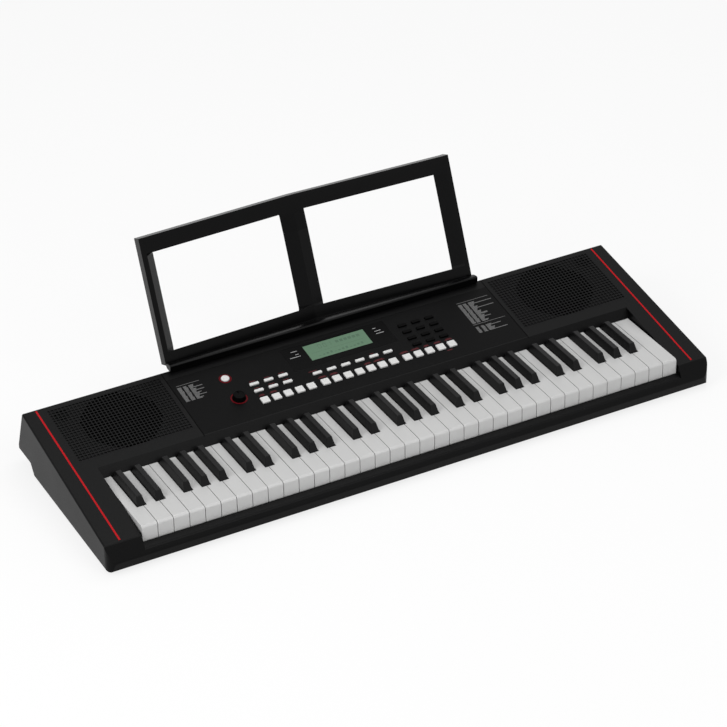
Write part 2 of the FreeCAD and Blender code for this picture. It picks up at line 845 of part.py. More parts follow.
def black_key():
    """Black key with tapered sides and a sloped front and rear, centred on X."""
    foot = white_head_length + black_front_gap
    lever_top = key_top - black_lever_drop
    top = key_top + black_rise
    rear_foot = black_cap_rear
    rear_top = black_cap_rear - black_rear_run
    half_foot = black_foot_width / 2
    half_top = black_top_width / 2
    low_wire = Part.makePolygon([Vector(-half_foot, foot, lever_top), Vector(half_foot, foot, lever_top),
                                 Vector(half_foot, rear_foot, lever_top),
                                 Vector(-half_foot, rear_foot, lever_top),
                                 Vector(-half_foot, foot, lever_top)])
    front = foot + black_front_run
    high_wire = Part.makePolygon([Vector(-half_top, front, top), Vector(half_top, front, top),
                                  Vector(half_top, rear_top, top), Vector(-half_top, rear_top, top),
                                  Vector(-half_top, front, top)])
    cap = Part.makeLoft([low_wire, high_wire], True, True)
    rounded = [edge for edge in cap.Edges if max(vertex.Point.z for vertex in edge.Vertexes) > key_top]
    cap = cap.makeFillet(black_edge_radius, rounded)
    lever = block(-half_foot, half_foot, foot, key_length, key_underside, lever_top)
    pocket = block(-half_top + key_side, half_top - key_side, front, rear_foot - key_skin,
                   key_underside - cut_over, key_top)
    key = cap.fuse(lever).cut([pocket] + pivot_saddle(-half_foot, half_foot))
    return key.removeSplitter()


def key_sets():
    """Every key in its node: the middle octave singly, the octaves below and above it in groups."""
    sharps = [note + "_sharp" for note in ("c", "d", "f", "g", "a")]
    octave_width = len(naturals) * white_pitch
    white_shapes = {note: white_key(note) for note in naturals}
    black_shape = black_key()
    sets = {}
    middle_octave = octave_count // 2
    for octave in range(octave_count):
        shift = octave * octave_width
        for note in list(naturals) + sharps:
            if note in white_shapes:
                key = white_shapes[note].copy()
                key.translate(Vector(shift, 0, 0))
            else:
                start, end = stem_span(note)
                key = black_shape.copy()
                key.translate(Vector(shift + (start + end) / 2 + keys_low, 0, 0))
            kind = "sharp" if note in sharps else "natural"
            node = "middle_" + note + "_key"
            if octave < middle_octave:
                node = "lower_" + kind + "_keys"
            elif octave > middle_octave:
                node = "upper_" + kind + "_keys"
            sets.setdefault(node, []).append(key)
    last = white_key("c", whole_rear=True)
    last.translate(Vector(octave_count * octave_width, 0, 0))
    sets["upper_natural_keys"].append(last)
    return sets


def channel(y_low, width, z_low, z_high, half):
    """Upturned channel of chassis sheet along X."""
    x_low = keys_middle - half
    x_high = keys_middle + half
    outer = block(x_low, x_high, y_low, y_low + width, z_low, z_high)
    inner = block(x_low - cut_over, x_high + cut_over, y_low + chassis_sheet, y_low + width - chassis_sheet,
                  z_low - cut_over, z_high - chassis_sheet)
    return outer.cut(inner)


def stop_beam_top():
    """Top of the beam whose felt stops the pressed keys."""
    drop = (key_pivot_setback - stop_beam_front) * math.sin(press_angle)
    return key_underside - drop - stop_clearance - felt_thickness


def make_key_chassis():
    """Frame that carries all keys: base sheet, stop beam, contact deck and pivot rib."""
    half = key_span / 2 + well_side_gap - chassis_side_gap
    low = pan_top + chassis_lift
    x_low = keys_middle - half
    x_high = keys_middle + half
    base = block(x_low, x_high, chassis_front, key_length, low, low + chassis_sheet)
    beam = channel(stop_beam_front, stop_beam_width, low, stop_beam_top(), half)
    deck = channel(deck_front, deck_width, low, key_underside - deck_drop, half)
    rib_low = key_pivot_setback - pivot_rib_radius
    rib_high = key_pivot_setback + pivot_rib_radius
    rib = block(x_low, x_high, rib_low, rib_high, low, pivot_z)
    crest = Part.makeCylinder(pivot_rib_radius, 2 * half, Vector(x_low, key_pivot_setback, pivot_z),
                              Vector(1, 0, 0))
    holes = [post(screw_radius + screw_play, x, y, low - cut_over, low + chassis_sheet + cut_over)
             for x, y in chassis_boss_places()]
    return joined([base, beam, deck, rib, crest]).cut(holes)


def contact_spans():
    """X ranges of the contact boards, one below each half of the keyboard."""
    return [(keys_low, keys_middle - contact_strip_gap / 2),
            (keys_middle + contact_strip_gap / 2, keys_low + key_span)]


def make_contact_boards():
    """Printed boards on the chassis deck that carry the key contacts."""
    low = key_underside - deck_drop
    front = deck_front + contact_board_margin
    rear = deck_front + deck_width - contact_board_margin
    return [block(x0, x1, front, rear, low, low + board_thickness) for x0, x1 in contact_spans()]


def make_contact_rubber():
    """Rubber strips with the contact domes at their pressed height."""
    low = key_underside - deck_drop + board_thickness
    rear = contact_strip_front + contact_strip_width
    octave_width = len(naturals) * white_pitch
    strips = []
    for octave in range(octave_count):
        start = octave * octave_width + keys_low + contact_strip_gap
        strips.append(round_block(octave_width - 2 * contact_strip_gap, contact_strip_width, low,
                                  low + contact_strip_height, rim_radius,
                                  (start + octave_width / 2 - contact_strip_gap,
                                   (contact_strip_front + rear) / 2)))
    return strips


def make_stop_felts():
    """Felt strips that stop the keys when pressed and when let go."""
    x_low = keys_low + felt_margin
    x_high = keys_low + key_span - felt_margin
    top = stop_beam_top()
    lower = block(x_low, x_high, stop_beam_front, stop_beam_front + stop_beam_width, top, top + felt_thickness)
    upper = block(x_low, x_high, fascia_foot_setback + slack, fascia_foot_setback + wall,
                  fascia_foot_z - upper_felt_thickness, fascia_foot_z)
    return [lower, upper]


def square_places():
    """Middles of the square buttons in three groups."""
    outer = [square_group_start + i * square_pitch for i in range(outer_square_count)]
    left = [(-x, square_row) for x in outer]
    half = (middle_square_count - 1) / 2
    centre = [((i - half) * square_pitch, square_row) for i in range(middle_square_count)]
    right = [(x, square_row) for x in outer]
    return left, centre, right


def button_sets():
    """Places and size of every push button, by node."""
    left, centre, right = square_places()
    half = (middle_small_count - 1) / 2
    small = [((i - half) * small_pitch, small_row) for i in range(middle_small_count)]
    left_small = [(left_small_start + i * small_pitch, small_row + row * left_small_row_pitch)
                  for row in range(left_small_rows) for i in range(left_small_columns)]
    numbers = [(number_start + i * number_pitch, number_row + row * number_row_pitch)
               for row in range(number_rows) for i in range(number_columns)]
    return {"left_square_buttons": (left, square_button), "middle_square_buttons": (centre, square_button),
            "right_square_buttons": (right, square_button), "middle_small_buttons": (small, small_button),
            "left_small_buttons": (left_small, small_button), "number_buttons": (numbers, number_button)}


def button(size, place):
    """Push button with a retaining flange under the panel and a stem over its switch."""
    width, depth = size
    flange_top = -roof - button_flange_drop
    flange_low = flange_top - button_flange
    cap = round_block(width, depth, flange_low, button_height, button_round, place)
    top_edges = [edge for edge in cap.Edges
                 if min(vertex.Point.z for vertex in edge.Vertexes) > button_height - button_flange]
    cap = cap.makeFillet(button_round / 2, top_edges)
    flange = round_block(width + 2 * button_flange_margin, depth + 2 * button_flange_margin, flange_low,
                         flange_top, button_round, place)
    stem = round_block(button_stem_width, button_stem_width, flange_low - button_stem_reach, flange_low,
                       button_round, place)
    return joined([cap, flange, stem])


def stem_low():
    """Lower end of a button's stem, drawn flat with the panel face at zero."""
    return -roof - button_flange_drop - button_flange - button_stem_reach


def power_button():
    """Round push button with its flange and stem."""
    x, y = power_place
    flange_top = -roof - button_flange_drop
    flange_low = flange_top - button_flange
    cap = post(power_radius, x, y, flange_low, button_height)
    rim = [edge for edge in cap.Edges
           if min(vertex.Point.z for vertex in edge.Vertexes) > button_height - button_flange
           and edge.Length > power_radius * math.pi]
    cap = cap.makeFillet(button_round, rim)
    flange = post(power_radius + button_flange_margin, x, y, flange_low, flange_top)
    stem = round_block(button_stem_width, button_stem_width, stem_low(), flange_low, button_round,
                       power_place)
    return joined([cap, flange, stem])


def control_holes():
    """Cuts through the control panel for every control."""
    holes = []
    low = -roof - cut_over
    for places, (width, depth) in button_sets().values():
        for place in places:
            holes.append(round_block(width + 2 * slack, depth + 2 * slack, low, cut_over,
                                     button_round + slack, place))
    holes.append(post(power_radius + slack, power_place[0], power_place[1], low, cut_over))
    holes.append(post(pot_bush_radius + slack, dial_place[0], dial_place[1], low, cut_over))
    return holes


def ring_sizes():
    """Inner radius and middle of both red rings."""
    return [(power_radius + slack + ring_gap, power_place), (dial_foot_radius + ring_gap, dial_place)]


def board_posts():
    """Places where posts hold the switch board under the panel."""
    return [(share * board_half_width, y) for share in board_post_x_shares
            for y in (board_post_front, board_post_rear)]


def window_outline(margin):
    """Display window's place on the panel as (width, depth, middle), with a margin all round."""
    middle = (window_shift, (window_front + window_rear) / 2)
    return 2 * (window_half_width + margin), window_rear - window_front + 2 * margin, middle


def lcd_outline(margin):
    """Display glass's place on the panel as (width, depth, middle), with a margin all round."""
    middle = (lcd_middle, lcd_front + lcd_height / 2)
    return lcd_width + 2 * margin, lcd_height + 2 * margin, middle


def make_control_panel():
    """Plate with the holes for the controls and the posts for the switch board."""
    middle_s = (panel_front_margin + panel_rear) / 2
    plate = round_block(2 * panel_half_width, panel_rear - panel_front_margin, -roof, 0, button_round,
                        (0, middle_s))
    width, depth, middle = window_outline(panel_gap / 2)
    cuts = [round_block(width, depth, -window_thickness, cut_over, window_corner, middle)]
    width, depth, middle = lcd_outline(lcd_frame_margin + panel_gap)
    cuts.append(round_block(width, depth, -roof - cut_over, cut_over, button_round, middle))
    for radius, (x, y) in ring_sizes():
        groove = post(radius + ring_width, x, y, ring_proud - ring_thickness, cut_over)
        cuts.append(groove.cut(post(radius, x, y, -roof, cut_over)))
    plate = plate.cut(cuts + control_holes())
    posts = []
    pilots = []
    for x, y in board_posts():
        posts.append(post(board_post_radius, x, y, -board_drop, -roof + weld_lap))
        pilots.append(post(screw_radius, x, y, -board_drop, board_screw_tip()))
    return on_panel(plate.multiFuse(posts).cut(pilots).removeSplitter())


def board_screw_tip():
    """Height of the switch board screws' tips, drawn flat with the panel face at zero."""
    return -board_drop - board_thickness + short_screw_length


def make_red_trim():
    """Thin red strips along both ends and red rings round the power button and the volume knob."""
    pieces = []
    for side in (-1, 1):
        x = side * strip_offset
        pieces.append(on_panel(block(x - strip_width / 2, x + strip_width / 2, strip_front, strip_rear,
                                     -strip_depth, strip_proud)))
    for radius, (x, y) in ring_sizes():
        ring = post(radius + ring_width, x, y, ring_proud - ring_thickness, ring_proud)
        pieces.append(on_panel(ring.cut(post(radius, x, y, -roof, cut_over))))
    return pieces


def make_display_window():
    """Dark gloss window plate with the opening over the display glass."""
    width, depth, middle = window_outline(0)
    plate = round_block(width, depth, -window_thickness, 0, window_corner, middle)
    width, depth, middle = lcd_outline(0)
    return on_panel(plate.cut(round_block(width, depth, -roof, cut_over, lcd_sink, middle)))


def make_lcd_panel():
    """Display module: glass in the window's opening on a wider frame."""
    width, depth, middle = lcd_outline(-panel_gap)
    glass = round_block(width, depth, -window_thickness - slack, -lcd_sink, lcd_sink, middle)
    width, depth, middle = lcd_outline(lcd_frame_margin)
    frame = round_block(width, depth, -window_thickness - lcd_module_depth, -window_thickness, button_round,
                        middle)
    return on_panel(joined([glass, frame]))


def make_switch_board():
    """Printed board under the control panel."""
    low = -board_drop - board_thickness
    board = block(-board_half_width, board_half_width, board_front, board_rear, low, -board_drop)
    holes = [post(screw_radius + screw_play, x, y, low - cut_over, cut_over - board_drop)
             for x, y in board_posts()]
    return on_panel(board.cut(holes))


def make_switches():
    """Push switches on the switch board, one under each button."""
    top = stem_low() - button_travel - slack
    switches = []
    places = [place for group, size in button_sets().values() for place in group]
    for x, y in places + [power_place]:
        body = round_block(switch_width, switch_width, -board_drop, -board_drop + switch_height / 2,
                           button_round / 2, (x, y))
        plunger = post(plunger_radius, x, y, -board_drop, top)
        switches.append(on_panel(joined([body, plunger])))
    return switches


def make_volume_pot():
    """Rotary control on the switch board, bored for the knob's shaft."""
    x, y = dial_place
    body = round_block(pot_width, pot_width, -board_drop, -board_drop + pot_height, button_round, dial_place)
    bush = post(pot_bush_radius, x, y, -board_drop + pot_height - slack, 0)
    bore = post(shaft_radius + shaft_running_gap, x, y, -board_drop + chassis_sheet, cut_over)
    return on_panel(joined([body, bush]).cut(bore))


def make_volume_shaft():
    """Shaft of the volume control, which turns in the pot and carries the knob."""
    x, y = dial_place
    return on_panel(post(shaft_radius, x, y, -board_drop + chassis_sheet + slack, dial_lift + shaft_grip))


def make_volume_knob():
    """Knob with tapered sides, a rounded edge and a pointer groove."""
    x, y = dial_place
    top = dial_lift + dial_height
    body = Part.makeCone(dial_foot_radius, dial_top_radius, dial_height, Vector(x, y, dial_lift))
    rim = [edge for edge in body.Edges
           if min(vertex.Point.z for vertex in edge.Vertexes) > top - dial_edge_radius
           and edge.Length > dial_top_radius * math.pi]
    body = body.makeFillet(dial_edge_radius, rim)
    mark = block(x - dial_mark_width / 2, x + dial_mark_width / 2, y + dial_top_radius - dial_mark_length,
                 y + dial_foot_radius + cut_over, top - dial_mark_depth, top + cut_over)
    bore = post(shaft_radius, x, y, 0, dial_lift + shaft_grip)
    return on_panel(body.cut([mark, bore]))


def grille_hole_places():
    """Middles of the open holes of the right grille, on a square grid inside the speaker circle."""
    reach = speaker_hole_radius - grille_hole / 2
    steps = int(reach / grille_pitch)
    places = []
    for i in range(-steps, steps + 1):
        for j in range(-steps, steps + 1):
            if math.hypot(i, j) * grille_pitch < reach:
                places.append((speaker_middle + i * grille_pitch, speaker_row + j * grille_pitch))
    return places


def make_grille():
    """Right perforated grille plate as one holed face with its thickness."""
    width, depth, middle = grille_outline(0)
    half = grille_hole / 2
    edge = round_block(width, depth, -grille_thickness, 0, rim_radius, middle)
    base = [face for face in edge.Faces if abs(face.CenterOfMass.z) < grille_thickness / 4][0]
    outline = base.OuterWire
    holes = []
    for x, y in grille_hole_places():
        corners = [Vector(x - half, y - half, 0), Vector(x + half, y - half, 0),
                   Vector(x + half, y + half, 0), Vector(x - half, y + half, 0)]
        holes.append(Part.makePolygon(corners + corners[:1]))
    face = Part.Face([outline] + holes)
    face.validate()
    return face.extrude(Vector(0, 0, -grille_thickness))


def revolved(profile):
    """Solid of (radius, height) points turned about the right speaker's axis."""
    points = [Vector(speaker_middle + r, speaker_row, z) for r, z in profile]
    face = Part.Face(Part.makePolygon(points + points[:1]))
    return face.revolve(Vector(speaker_middle, speaker_row, 0), Vector(0, 0, 1), full_turn)


def speaker_face():
    """Height of the speaker flange's upper face, drawn flat with the panel face at zero."""
    return -roof - gasket_height


def both_sides(shape):
    """A right-hand shape and its mirror image, both on the panel."""
    return [on_panel(mirrored(shape)), on_panel(shape)]


def make_speaker_baskets():
    """Speaker frames: square flange with a tapered basket."""
    top = speaker_face()
    low = top - speaker_flange_thickness
    flange = round_block(speaker_flange, speaker_flange, low, top, speaker_flange_corner,
                         (speaker_middle, speaker_row))
    hole = post(basket_radius - basket_sheet, speaker_middle, speaker_row, low - cut_over, top + cut_over)
    foot = low - basket_depth
    basket = revolved([(basket_radius - basket_sheet, low), (basket_radius, low),
                       (basket_neck_radius, foot), (0, foot), (0, foot + basket_sheet),
                       (basket_neck_radius - basket_sheet, foot + basket_sheet)])
    screws = [post(screw_radius + screw_play, x, y, low - cut_over, top + cut_over)
              for x, y in speaker_screws() if x > 0]
    return both_sides(joined([flange.cut([hole] + screws), basket]))


def make_speaker_cones():
    """Paper cones with their dust caps, each hung at its rim in the flange."""
    top = speaker_face()
    rim_low = top - speaker_flange_thickness
    neck = rim_low - basket_depth + basket_sheet + slack
    rim_radius_out = basket_radius - basket_sheet - slack
    cone = revolved([(rim_radius_out, top), (rim_radius_out, top - cone_sheet),
                     (cone_rim_radius, top - cone_sheet), (cone_neck_radius, neck + dust_cap_rise),
                     (cone_neck_radius, neck), (cone_neck_radius - cone_sheet, neck),
                     (cone_neck_radius - cone_sheet, neck + dust_cap_rise), (0, neck + 2 * dust_cap_rise),
                     (0, neck + 2 * dust_cap_rise + cone_sheet),
                     (cone_neck_radius, neck + dust_cap_rise + 2 * cone_sheet), (cone_rim_radius, top)])
    return both_sides(cone)


def make_speaker_magnets():
    """Ring magnets under the baskets."""
    top = speaker_face() - speaker_flange_thickness - basket_depth
    return both_sides(post(magnet_radius, speaker_middle, speaker_row, top - magnet_depth, top))


def make_speaker_gaskets():
    """Foam rings between the speakers and the roof of the case."""
    outer = post(gasket_radius + gasket_width, speaker_middle, speaker_row, speaker_face(), -roof)
    inner = post(gasket_radius, speaker_middle, speaker_row, speaker_face() - cut_over, cut_over)
    return both_sides(outer.cut(inner))


def rest_lines():
    """Directions up the music rest's face and square to it towards the rear, as (y, z)."""
    lean = math.radians(rest_lean)
    return (math.sin(lean), math.cos(lean)), (math.cos(lean), -math.sin(lean))


def rest_point(x, up_face, behind):
    """Point of the music rest at X, up its face and behind it; the face stands back in the middle."""
    up, back = rest_lines()
    depth = behind + rest_bow * (1 - abs(x) / rest_half_width)
    return Vector(x, rest_face_setback + up_face * up[0] + depth * back[0],
                  rear_top_z + rest_face_rise + up_face * up[1] + depth * back[1])


def rest_at_height(x, z, behind):
    """Point of the music rest's face, or behind it, at X and a height."""
    up, back = rest_lines()
    foot = rest_point(x, 0, behind)
    return rest_point(x, (z - foot.z) / up[1], behind)


def rest_section(x):
    """Closed side outline of the music rest at X, from the trough's lip to the top edge."""
    under = rear_top_z + rest_trough_gap
    floor = under + rest_floor
    lip_top = under + rest_lip_height
    lip_rear = rest_lip_setback + rest_lip_thickness
    points = [Vector(x, rest_lip_setback + rest_lip_lean, under), rest_at_height(x, under, rest_thickness),
              rest_point(x, rest_height, rest_thickness), rest_point(x, rest_height, 0),
              rest_at_height(x, floor, 0), Vector(x, lip_rear + rest_lip_lean, floor),
              Vector(x, lip_rear, lip_top), Vector(x, rest_lip_setback, lip_top)]
    radii = [rest_edge_radius, rest_trough_radius, rest_edge_radius, rest_edge_radius,
             rest_trough_radius, rest_trough_radius, rest_edge_radius, rest_edge_radius]
    return rounded_face(points, radii).OuterWire


def make_music_rest():
    """Frame with two windows over a trough, its halves meeting further back in the middle."""
    left = Part.makeLoft([rest_section(-rest_half_width), rest_section(0)], True, True)
    x_low = -rest_half_width + window_post
    x_high = -window_middle_half
    corners = []
    for x, t in ((x_low, rest_window_low), (x_low, rest_window_high),
                 (x_high, rest_window_high), (x_high, rest_window_low)):
        corners.append(rest_point(x, t, -rest_thickness))
    opening = Part.Face(Part.makePolygon(corners + corners[:1]))
    up, back = rest_lines()
    window = opening.extrude(Vector(0, back[0], back[1]) * (3 * rest_thickness))
    left = left.cut(window)
    tab = block(-tab_offset - tab_width / 2, -tab_offset + tab_width / 2, tab_setback,
                tab_setback + tab_thickness, rear_top_z - tab_depth, rear_top_z + tab_top)
    left = left.fuse(tab)
    return joined([left, mirrored(left)])


def make_feet():
    """Rubber feet seated in round sinks under the pan."""
    feet = []
    for x, y in foot_places():
        foot = post(foot_radius, x, y, 0, rim_z + foot_sink)
        rim = [edge for edge in foot.Edges if max(vertex.Point.z for vertex in edge.Vertexes) < foot_round
               and edge.Length > foot_radius * math.pi]
        feet.append(foot.makeFillet(foot_round, rim))
    return feet


def make_main_board():
    """Main electronics board on its posts."""
    low = pan_top + main_board_lift
    board = block(main_board_start, main_board_start + main_board_width, main_board_front,
                  main_board_front + main_board_depth, low, low + board_thickness)
    return board.cut([post(screw_radius + screw_play, x, y, low - cut_over, low + cut_over)
                      for x, y in main_board_posts()])


def make_socket_board():
    """Board that carries the rear sockets."""
    low = rear_pan_top + socket_shelf
    board = block(socket_board_start, socket_board_start + socket_board_width, socket_board_front,
                  socket_board_front + socket_board_depth, low, low + board_thickness)
    return board.cut([post(screw_radius + screw_play, x, y, low - cut_over, low + cut_over)
                      for x, y in socket_board_posts()])


def socket_face():
    """Distance of the sockets' mouths behind the white key fronts."""
    return rear_face(socket_height()) + jack_proud


def make_audio_jacks():
    """Sockets for headphones and a pedal, with a round bush through the rear face."""
    z = socket_height()
    mouth = socket_face()
    jacks = []
    for x in jack_offsets:
        front = mouth - jack_bore_depth - base_wall
        body = block(x - jack_width / 2, x + jack_width / 2, front, front + jack_body,
                     z - jack_height / 2, z + jack_height / 2)
        bush = tube_y(jack_bush_radius, x, z, mouth - jack_bore_depth, mouth)
        bore = tube_y(jack_bore_radius, x, z, mouth - jack_bore_depth, mouth + cut_over)
        jacks.append(joined([body, bush]).cut(bore))
    return jacks


def make_dc_inlet():
    """Low-voltage supply inlet with its centre pin."""
    z = socket_height()
    mouth = rear_face(z + jack_height / 2)
    front = mouth - inlet_bore_depth - base_wall
    body = block(inlet_offset - inlet_width / 2, inlet_offset + inlet_width / 2, front, mouth,
                 z - jack_height / 2, z + jack_height / 2)
    bore = tube_y(inlet_bore_radius, inlet_offset, z, mouth - inlet_bore_depth, mouth + cut_over)
    pin = tube_y(inlet_pin_radius, inlet_offset, z, mouth - inlet_bore_depth - base_wall / 2, mouth - wall)
    return joined([body.cut(bore), pin])


def make_usb_socket():
    """Data socket with a square opening."""
    z = socket_height()
    low = rear_pan_top + socket_shelf + board_thickness
    mouth = rear_face(z + usb_height / 2)
    body = block(usb_offset - usb_width / 2, usb_offset + usb_width / 2, mouth - usb_depth - base_wall, mouth,
                 low, low + usb_height)
    middle = low + usb_height / 2
    slot = block(usb_offset - usb_slot_width / 2, usb_offset + usb_slot_width / 2, mouth - usb_depth,
                 mouth + cut_over, middle - usb_slot_height / 2, middle + usb_slot_height / 2)
    return body.cut(slot)


def screw(x, y, seat, length):
    """Screw with its head under a seat and its shank upwards."""
    head = post(screw_head_radius, x, y, seat - screw_head_height, seat)
    return joined([head, post(screw_radius, x, y, seat, seat + length)])


def turned_screw(x, y, seat, length):
    """Screw with its head on a seat and its shank downwards."""
    head = post(screw_head_radius, x, y, seat, seat + screw_head_height)
    return joined([head, post(screw_radius, x, y, seat - length, seat)])


def make_case_screws():
    """Screws from below through the pan into the bosses of the upper case."""
    screws = []
    for places, floor in ((front_bosses(), rim_z), (boss_places(rear_boss_setback), rear_foot_z)):
        seat = floor + screw_head_height + screw_play
        for x, y in places:
            screws.append(screw(x, y, seat, screw_length - screw_play))
    return screws


def make_inner_screws():
    """Short screws of the key chassis, the boards and the speakers."""
    screws = []
    chassis_seat = pan_top + chassis_lift + chassis_sheet
    for x, y in chassis_boss_places():
        screws.append(turned_screw(x, y, chassis_seat, short_screw_length))
    for x, y in main_board_posts():
        screws.append(turned_screw(x, y, pan_top + main_board_lift + board_thickness, short_screw_length))
    for x, y in socket_board_posts():
        screws.append(turned_screw(x, y, rear_pan_top + socket_shelf + board_thickness, short_screw_length))
    for x, y in board_posts():
        screws.append(on_panel(screw(x, y, -board_drop - board_thickness, short_screw_length)))
    for x, y in speaker_screws():
        seat = speaker_face() - speaker_flange_thickness
        screws.append(on_panel(screw(x, y, seat, short_screw_length)))
    return screws


def make_ribbon_cable():
    """Flat cable from the switch board down to the main board."""
    low = pan_top + main_board_lift + board_thickness
    y = main_board_front + main_board_depth - post_inset
    top = panel_height(y) - (board_drop + board_thickness) / math.cos(slope)
    return block(ribbon_middle - ribbon_width / 2, ribbon_middle + ribbon_width / 2, y, y + ribbon_thickness,
                 low, top)


def all_nodes():
    """Every piece of the keyboard, by node."""
    grille = make_grille()
    nodes = {
        "upper_case": [make_upper_case()],
        "lower_case": [make_lower_case()],
        "control_panel": [make_control_panel()],
        "left_speaker_grille": [on_panel(mirrored(grille))],
        "right_speaker_grille": [on_panel(grille)],
        "red_trim_inlays": make_red_trim(),
        "display_window": [make_display_window()],
        "lcd_panel": [make_lcd_panel()],
        "switch_board": [make_switch_board()],
        "push_switches": make_switches(),
        "volume_pot": [make_volume_pot()],
        "volume_shaft": [make_volume_shaft()],
        "volume_knob": [make_volume_knob()],
        "power_button": [on_panel(power_button())],
        "key_chassis": [make_key_chassis()],
        "key_contact_boards": make_contact_boards(),
        "key_contact_rubber": make_contact_rubber(),
        "key_stop_felts": make_stop_felts(),
        "speaker_baskets": make_speaker_baskets(),
        "speaker_cones": make_speaker_cones(),
        "speaker_magnets": make_speaker_magnets(),
        "speaker_gaskets": make_speaker_gaskets(),
        "main_board": [make_main_board()],
        "socket_board": [make_socket_board()],
        "audio_jacks": make_audio_jacks(),
        "dc_inlet": [make_dc_inlet()],
        "usb_socket": [make_usb_socket()],
        "battery_cover": [make_battery_cover()],
        "battery_contacts": make_battery_contacts(),
        "rubber_feet": make_feet(),
        "case_screws": make_case_screws(),
        "inner_screws": make_inner_screws(),
        "ribbon_cable": [make_ribbon_cable()],
        "music_rest": [make_music_rest()],
    }
    for node, (places, size) in button_sets().items():
        nodes[node] = [on_panel(button(size, place)) for place in places]
    nodes.update(key_sets())
    return nodes


def export_nodes():
    """Write each node to its own file, with the origin under the middle of the whole outline."""
    nodes = all_nodes()
    middle = (nodes["upper_case"][0].BoundBox.YMin + nodes["music_rest"][0].BoundBox.YMax) / 2
    for node, shapes in nodes.items():
        shape = shapes[0] if len(shapes) == 1 else Part.makeCompound(shapes)
        shape.translate(Vector(0, -middle, 0))
        shape.exportStep(os.path.join("parts", node + ".step"))
    return nodes, middle


built_nodes, origin_setback = export_nodes()
print("nodes", len(built_nodes), "origin behind the key fronts", round(origin_setback, 3))
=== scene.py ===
"""Looks of the arranger keyboard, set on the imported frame.

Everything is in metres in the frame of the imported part: X along the keys, Y to the rear, Z up.
"""
from __future__ import annotations

import logging
import math
from collections import Counter
from contextlib import contextmanager
from dataclasses import dataclass, field, replace
from enum import Enum
from functools import cached_property
from typing import Any, Callable, Iterable, Iterator, Sequence

import bpy
from mathutils import Matrix, Vector

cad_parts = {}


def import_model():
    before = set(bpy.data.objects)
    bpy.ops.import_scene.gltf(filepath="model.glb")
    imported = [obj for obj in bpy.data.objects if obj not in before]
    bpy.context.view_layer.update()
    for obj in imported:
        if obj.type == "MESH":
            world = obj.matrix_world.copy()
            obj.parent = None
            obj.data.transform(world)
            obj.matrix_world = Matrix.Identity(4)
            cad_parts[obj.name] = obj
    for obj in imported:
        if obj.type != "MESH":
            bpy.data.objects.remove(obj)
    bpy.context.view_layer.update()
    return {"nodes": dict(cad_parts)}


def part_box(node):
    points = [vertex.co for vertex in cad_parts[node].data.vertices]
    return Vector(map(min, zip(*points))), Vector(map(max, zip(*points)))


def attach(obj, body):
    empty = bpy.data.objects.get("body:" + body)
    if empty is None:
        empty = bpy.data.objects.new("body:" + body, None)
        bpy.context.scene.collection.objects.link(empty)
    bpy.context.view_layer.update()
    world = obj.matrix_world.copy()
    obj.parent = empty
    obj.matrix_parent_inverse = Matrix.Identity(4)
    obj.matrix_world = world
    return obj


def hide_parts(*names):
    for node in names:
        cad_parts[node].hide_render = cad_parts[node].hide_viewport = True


LOG = logging.getLogger("keyboard")
Piece = bpy.types.Object
Material = bpy.types.Material
Triple = tuple[float, float, float]
Colour = Triple
Place = tuple[float, float]
ORIGIN: Triple = (0.0, 0.0, 0.0)
EVEN: Triple = (1.0, 1.0, 1.0)
WHITE: Colour = (1.0, 1.0, 1.0)
NEAR = 1e-5
PANEL_FRONT: Triple = (0.0, -0.049059, 0.069)
PANEL_SLOPE = math.radians(9.85)


class Side(Enum):
    """Which end of the keyboard a piece belongs to."""

    LEFT = -1
    RIGHT = 1


def greys(dark: float, light: float, blue: float = 0.0) -> tuple[Colour, Colour]:
    """Two greys with a little more or less blue."""
    return (dark, dark, dark + blue), (light, light, light + blue)


def joined(operation: str, turned: bool = False) -> Callable[..., Value]:
    """Method that joins a value to another by a Math node.

    Args:
        operation: What the node does.
        turned: Whether the other value comes first.

    Returns:
        The method.
    """
    def join(value: Value, other: Any = 0.0) -> Value:
        """Result of the node."""
        first, second = (other, value) if turned else (value, other)
        return value.shader.node("Math", {0: first, 1: second}, operation=operation)
    return join


class Value:
    """A shader socket that takes part in Python sums and tests, where a test gives one or zero."""

    __add__ = joined("ADD")
    __radd__ = joined("ADD", turned=True)
    __sub__ = joined("SUBTRACT")
    __rsub__ = joined("SUBTRACT", turned=True)
    __mul__ = joined("MULTIPLY")
    __truediv__ = joined("DIVIDE")
    __gt__ = joined("GREATER_THAN")
    __lt__ = joined("LESS_THAN")
    larger = joined("MAXIMUM")
    part = joined("FRACT")
    size = joined("ABSOLUTE")

    def __init__(self, shader: Graph, socket: Any) -> None:
        """Keep the socket and the tree that it belongs to."""
        self.shader = shader
        self.socket = socket

    def around(self, base: Any, spread: float) -> Value:
        """Base that this value, from zero to one, moves down or up by half a spread."""
        return base + (self - 0.5) * spread


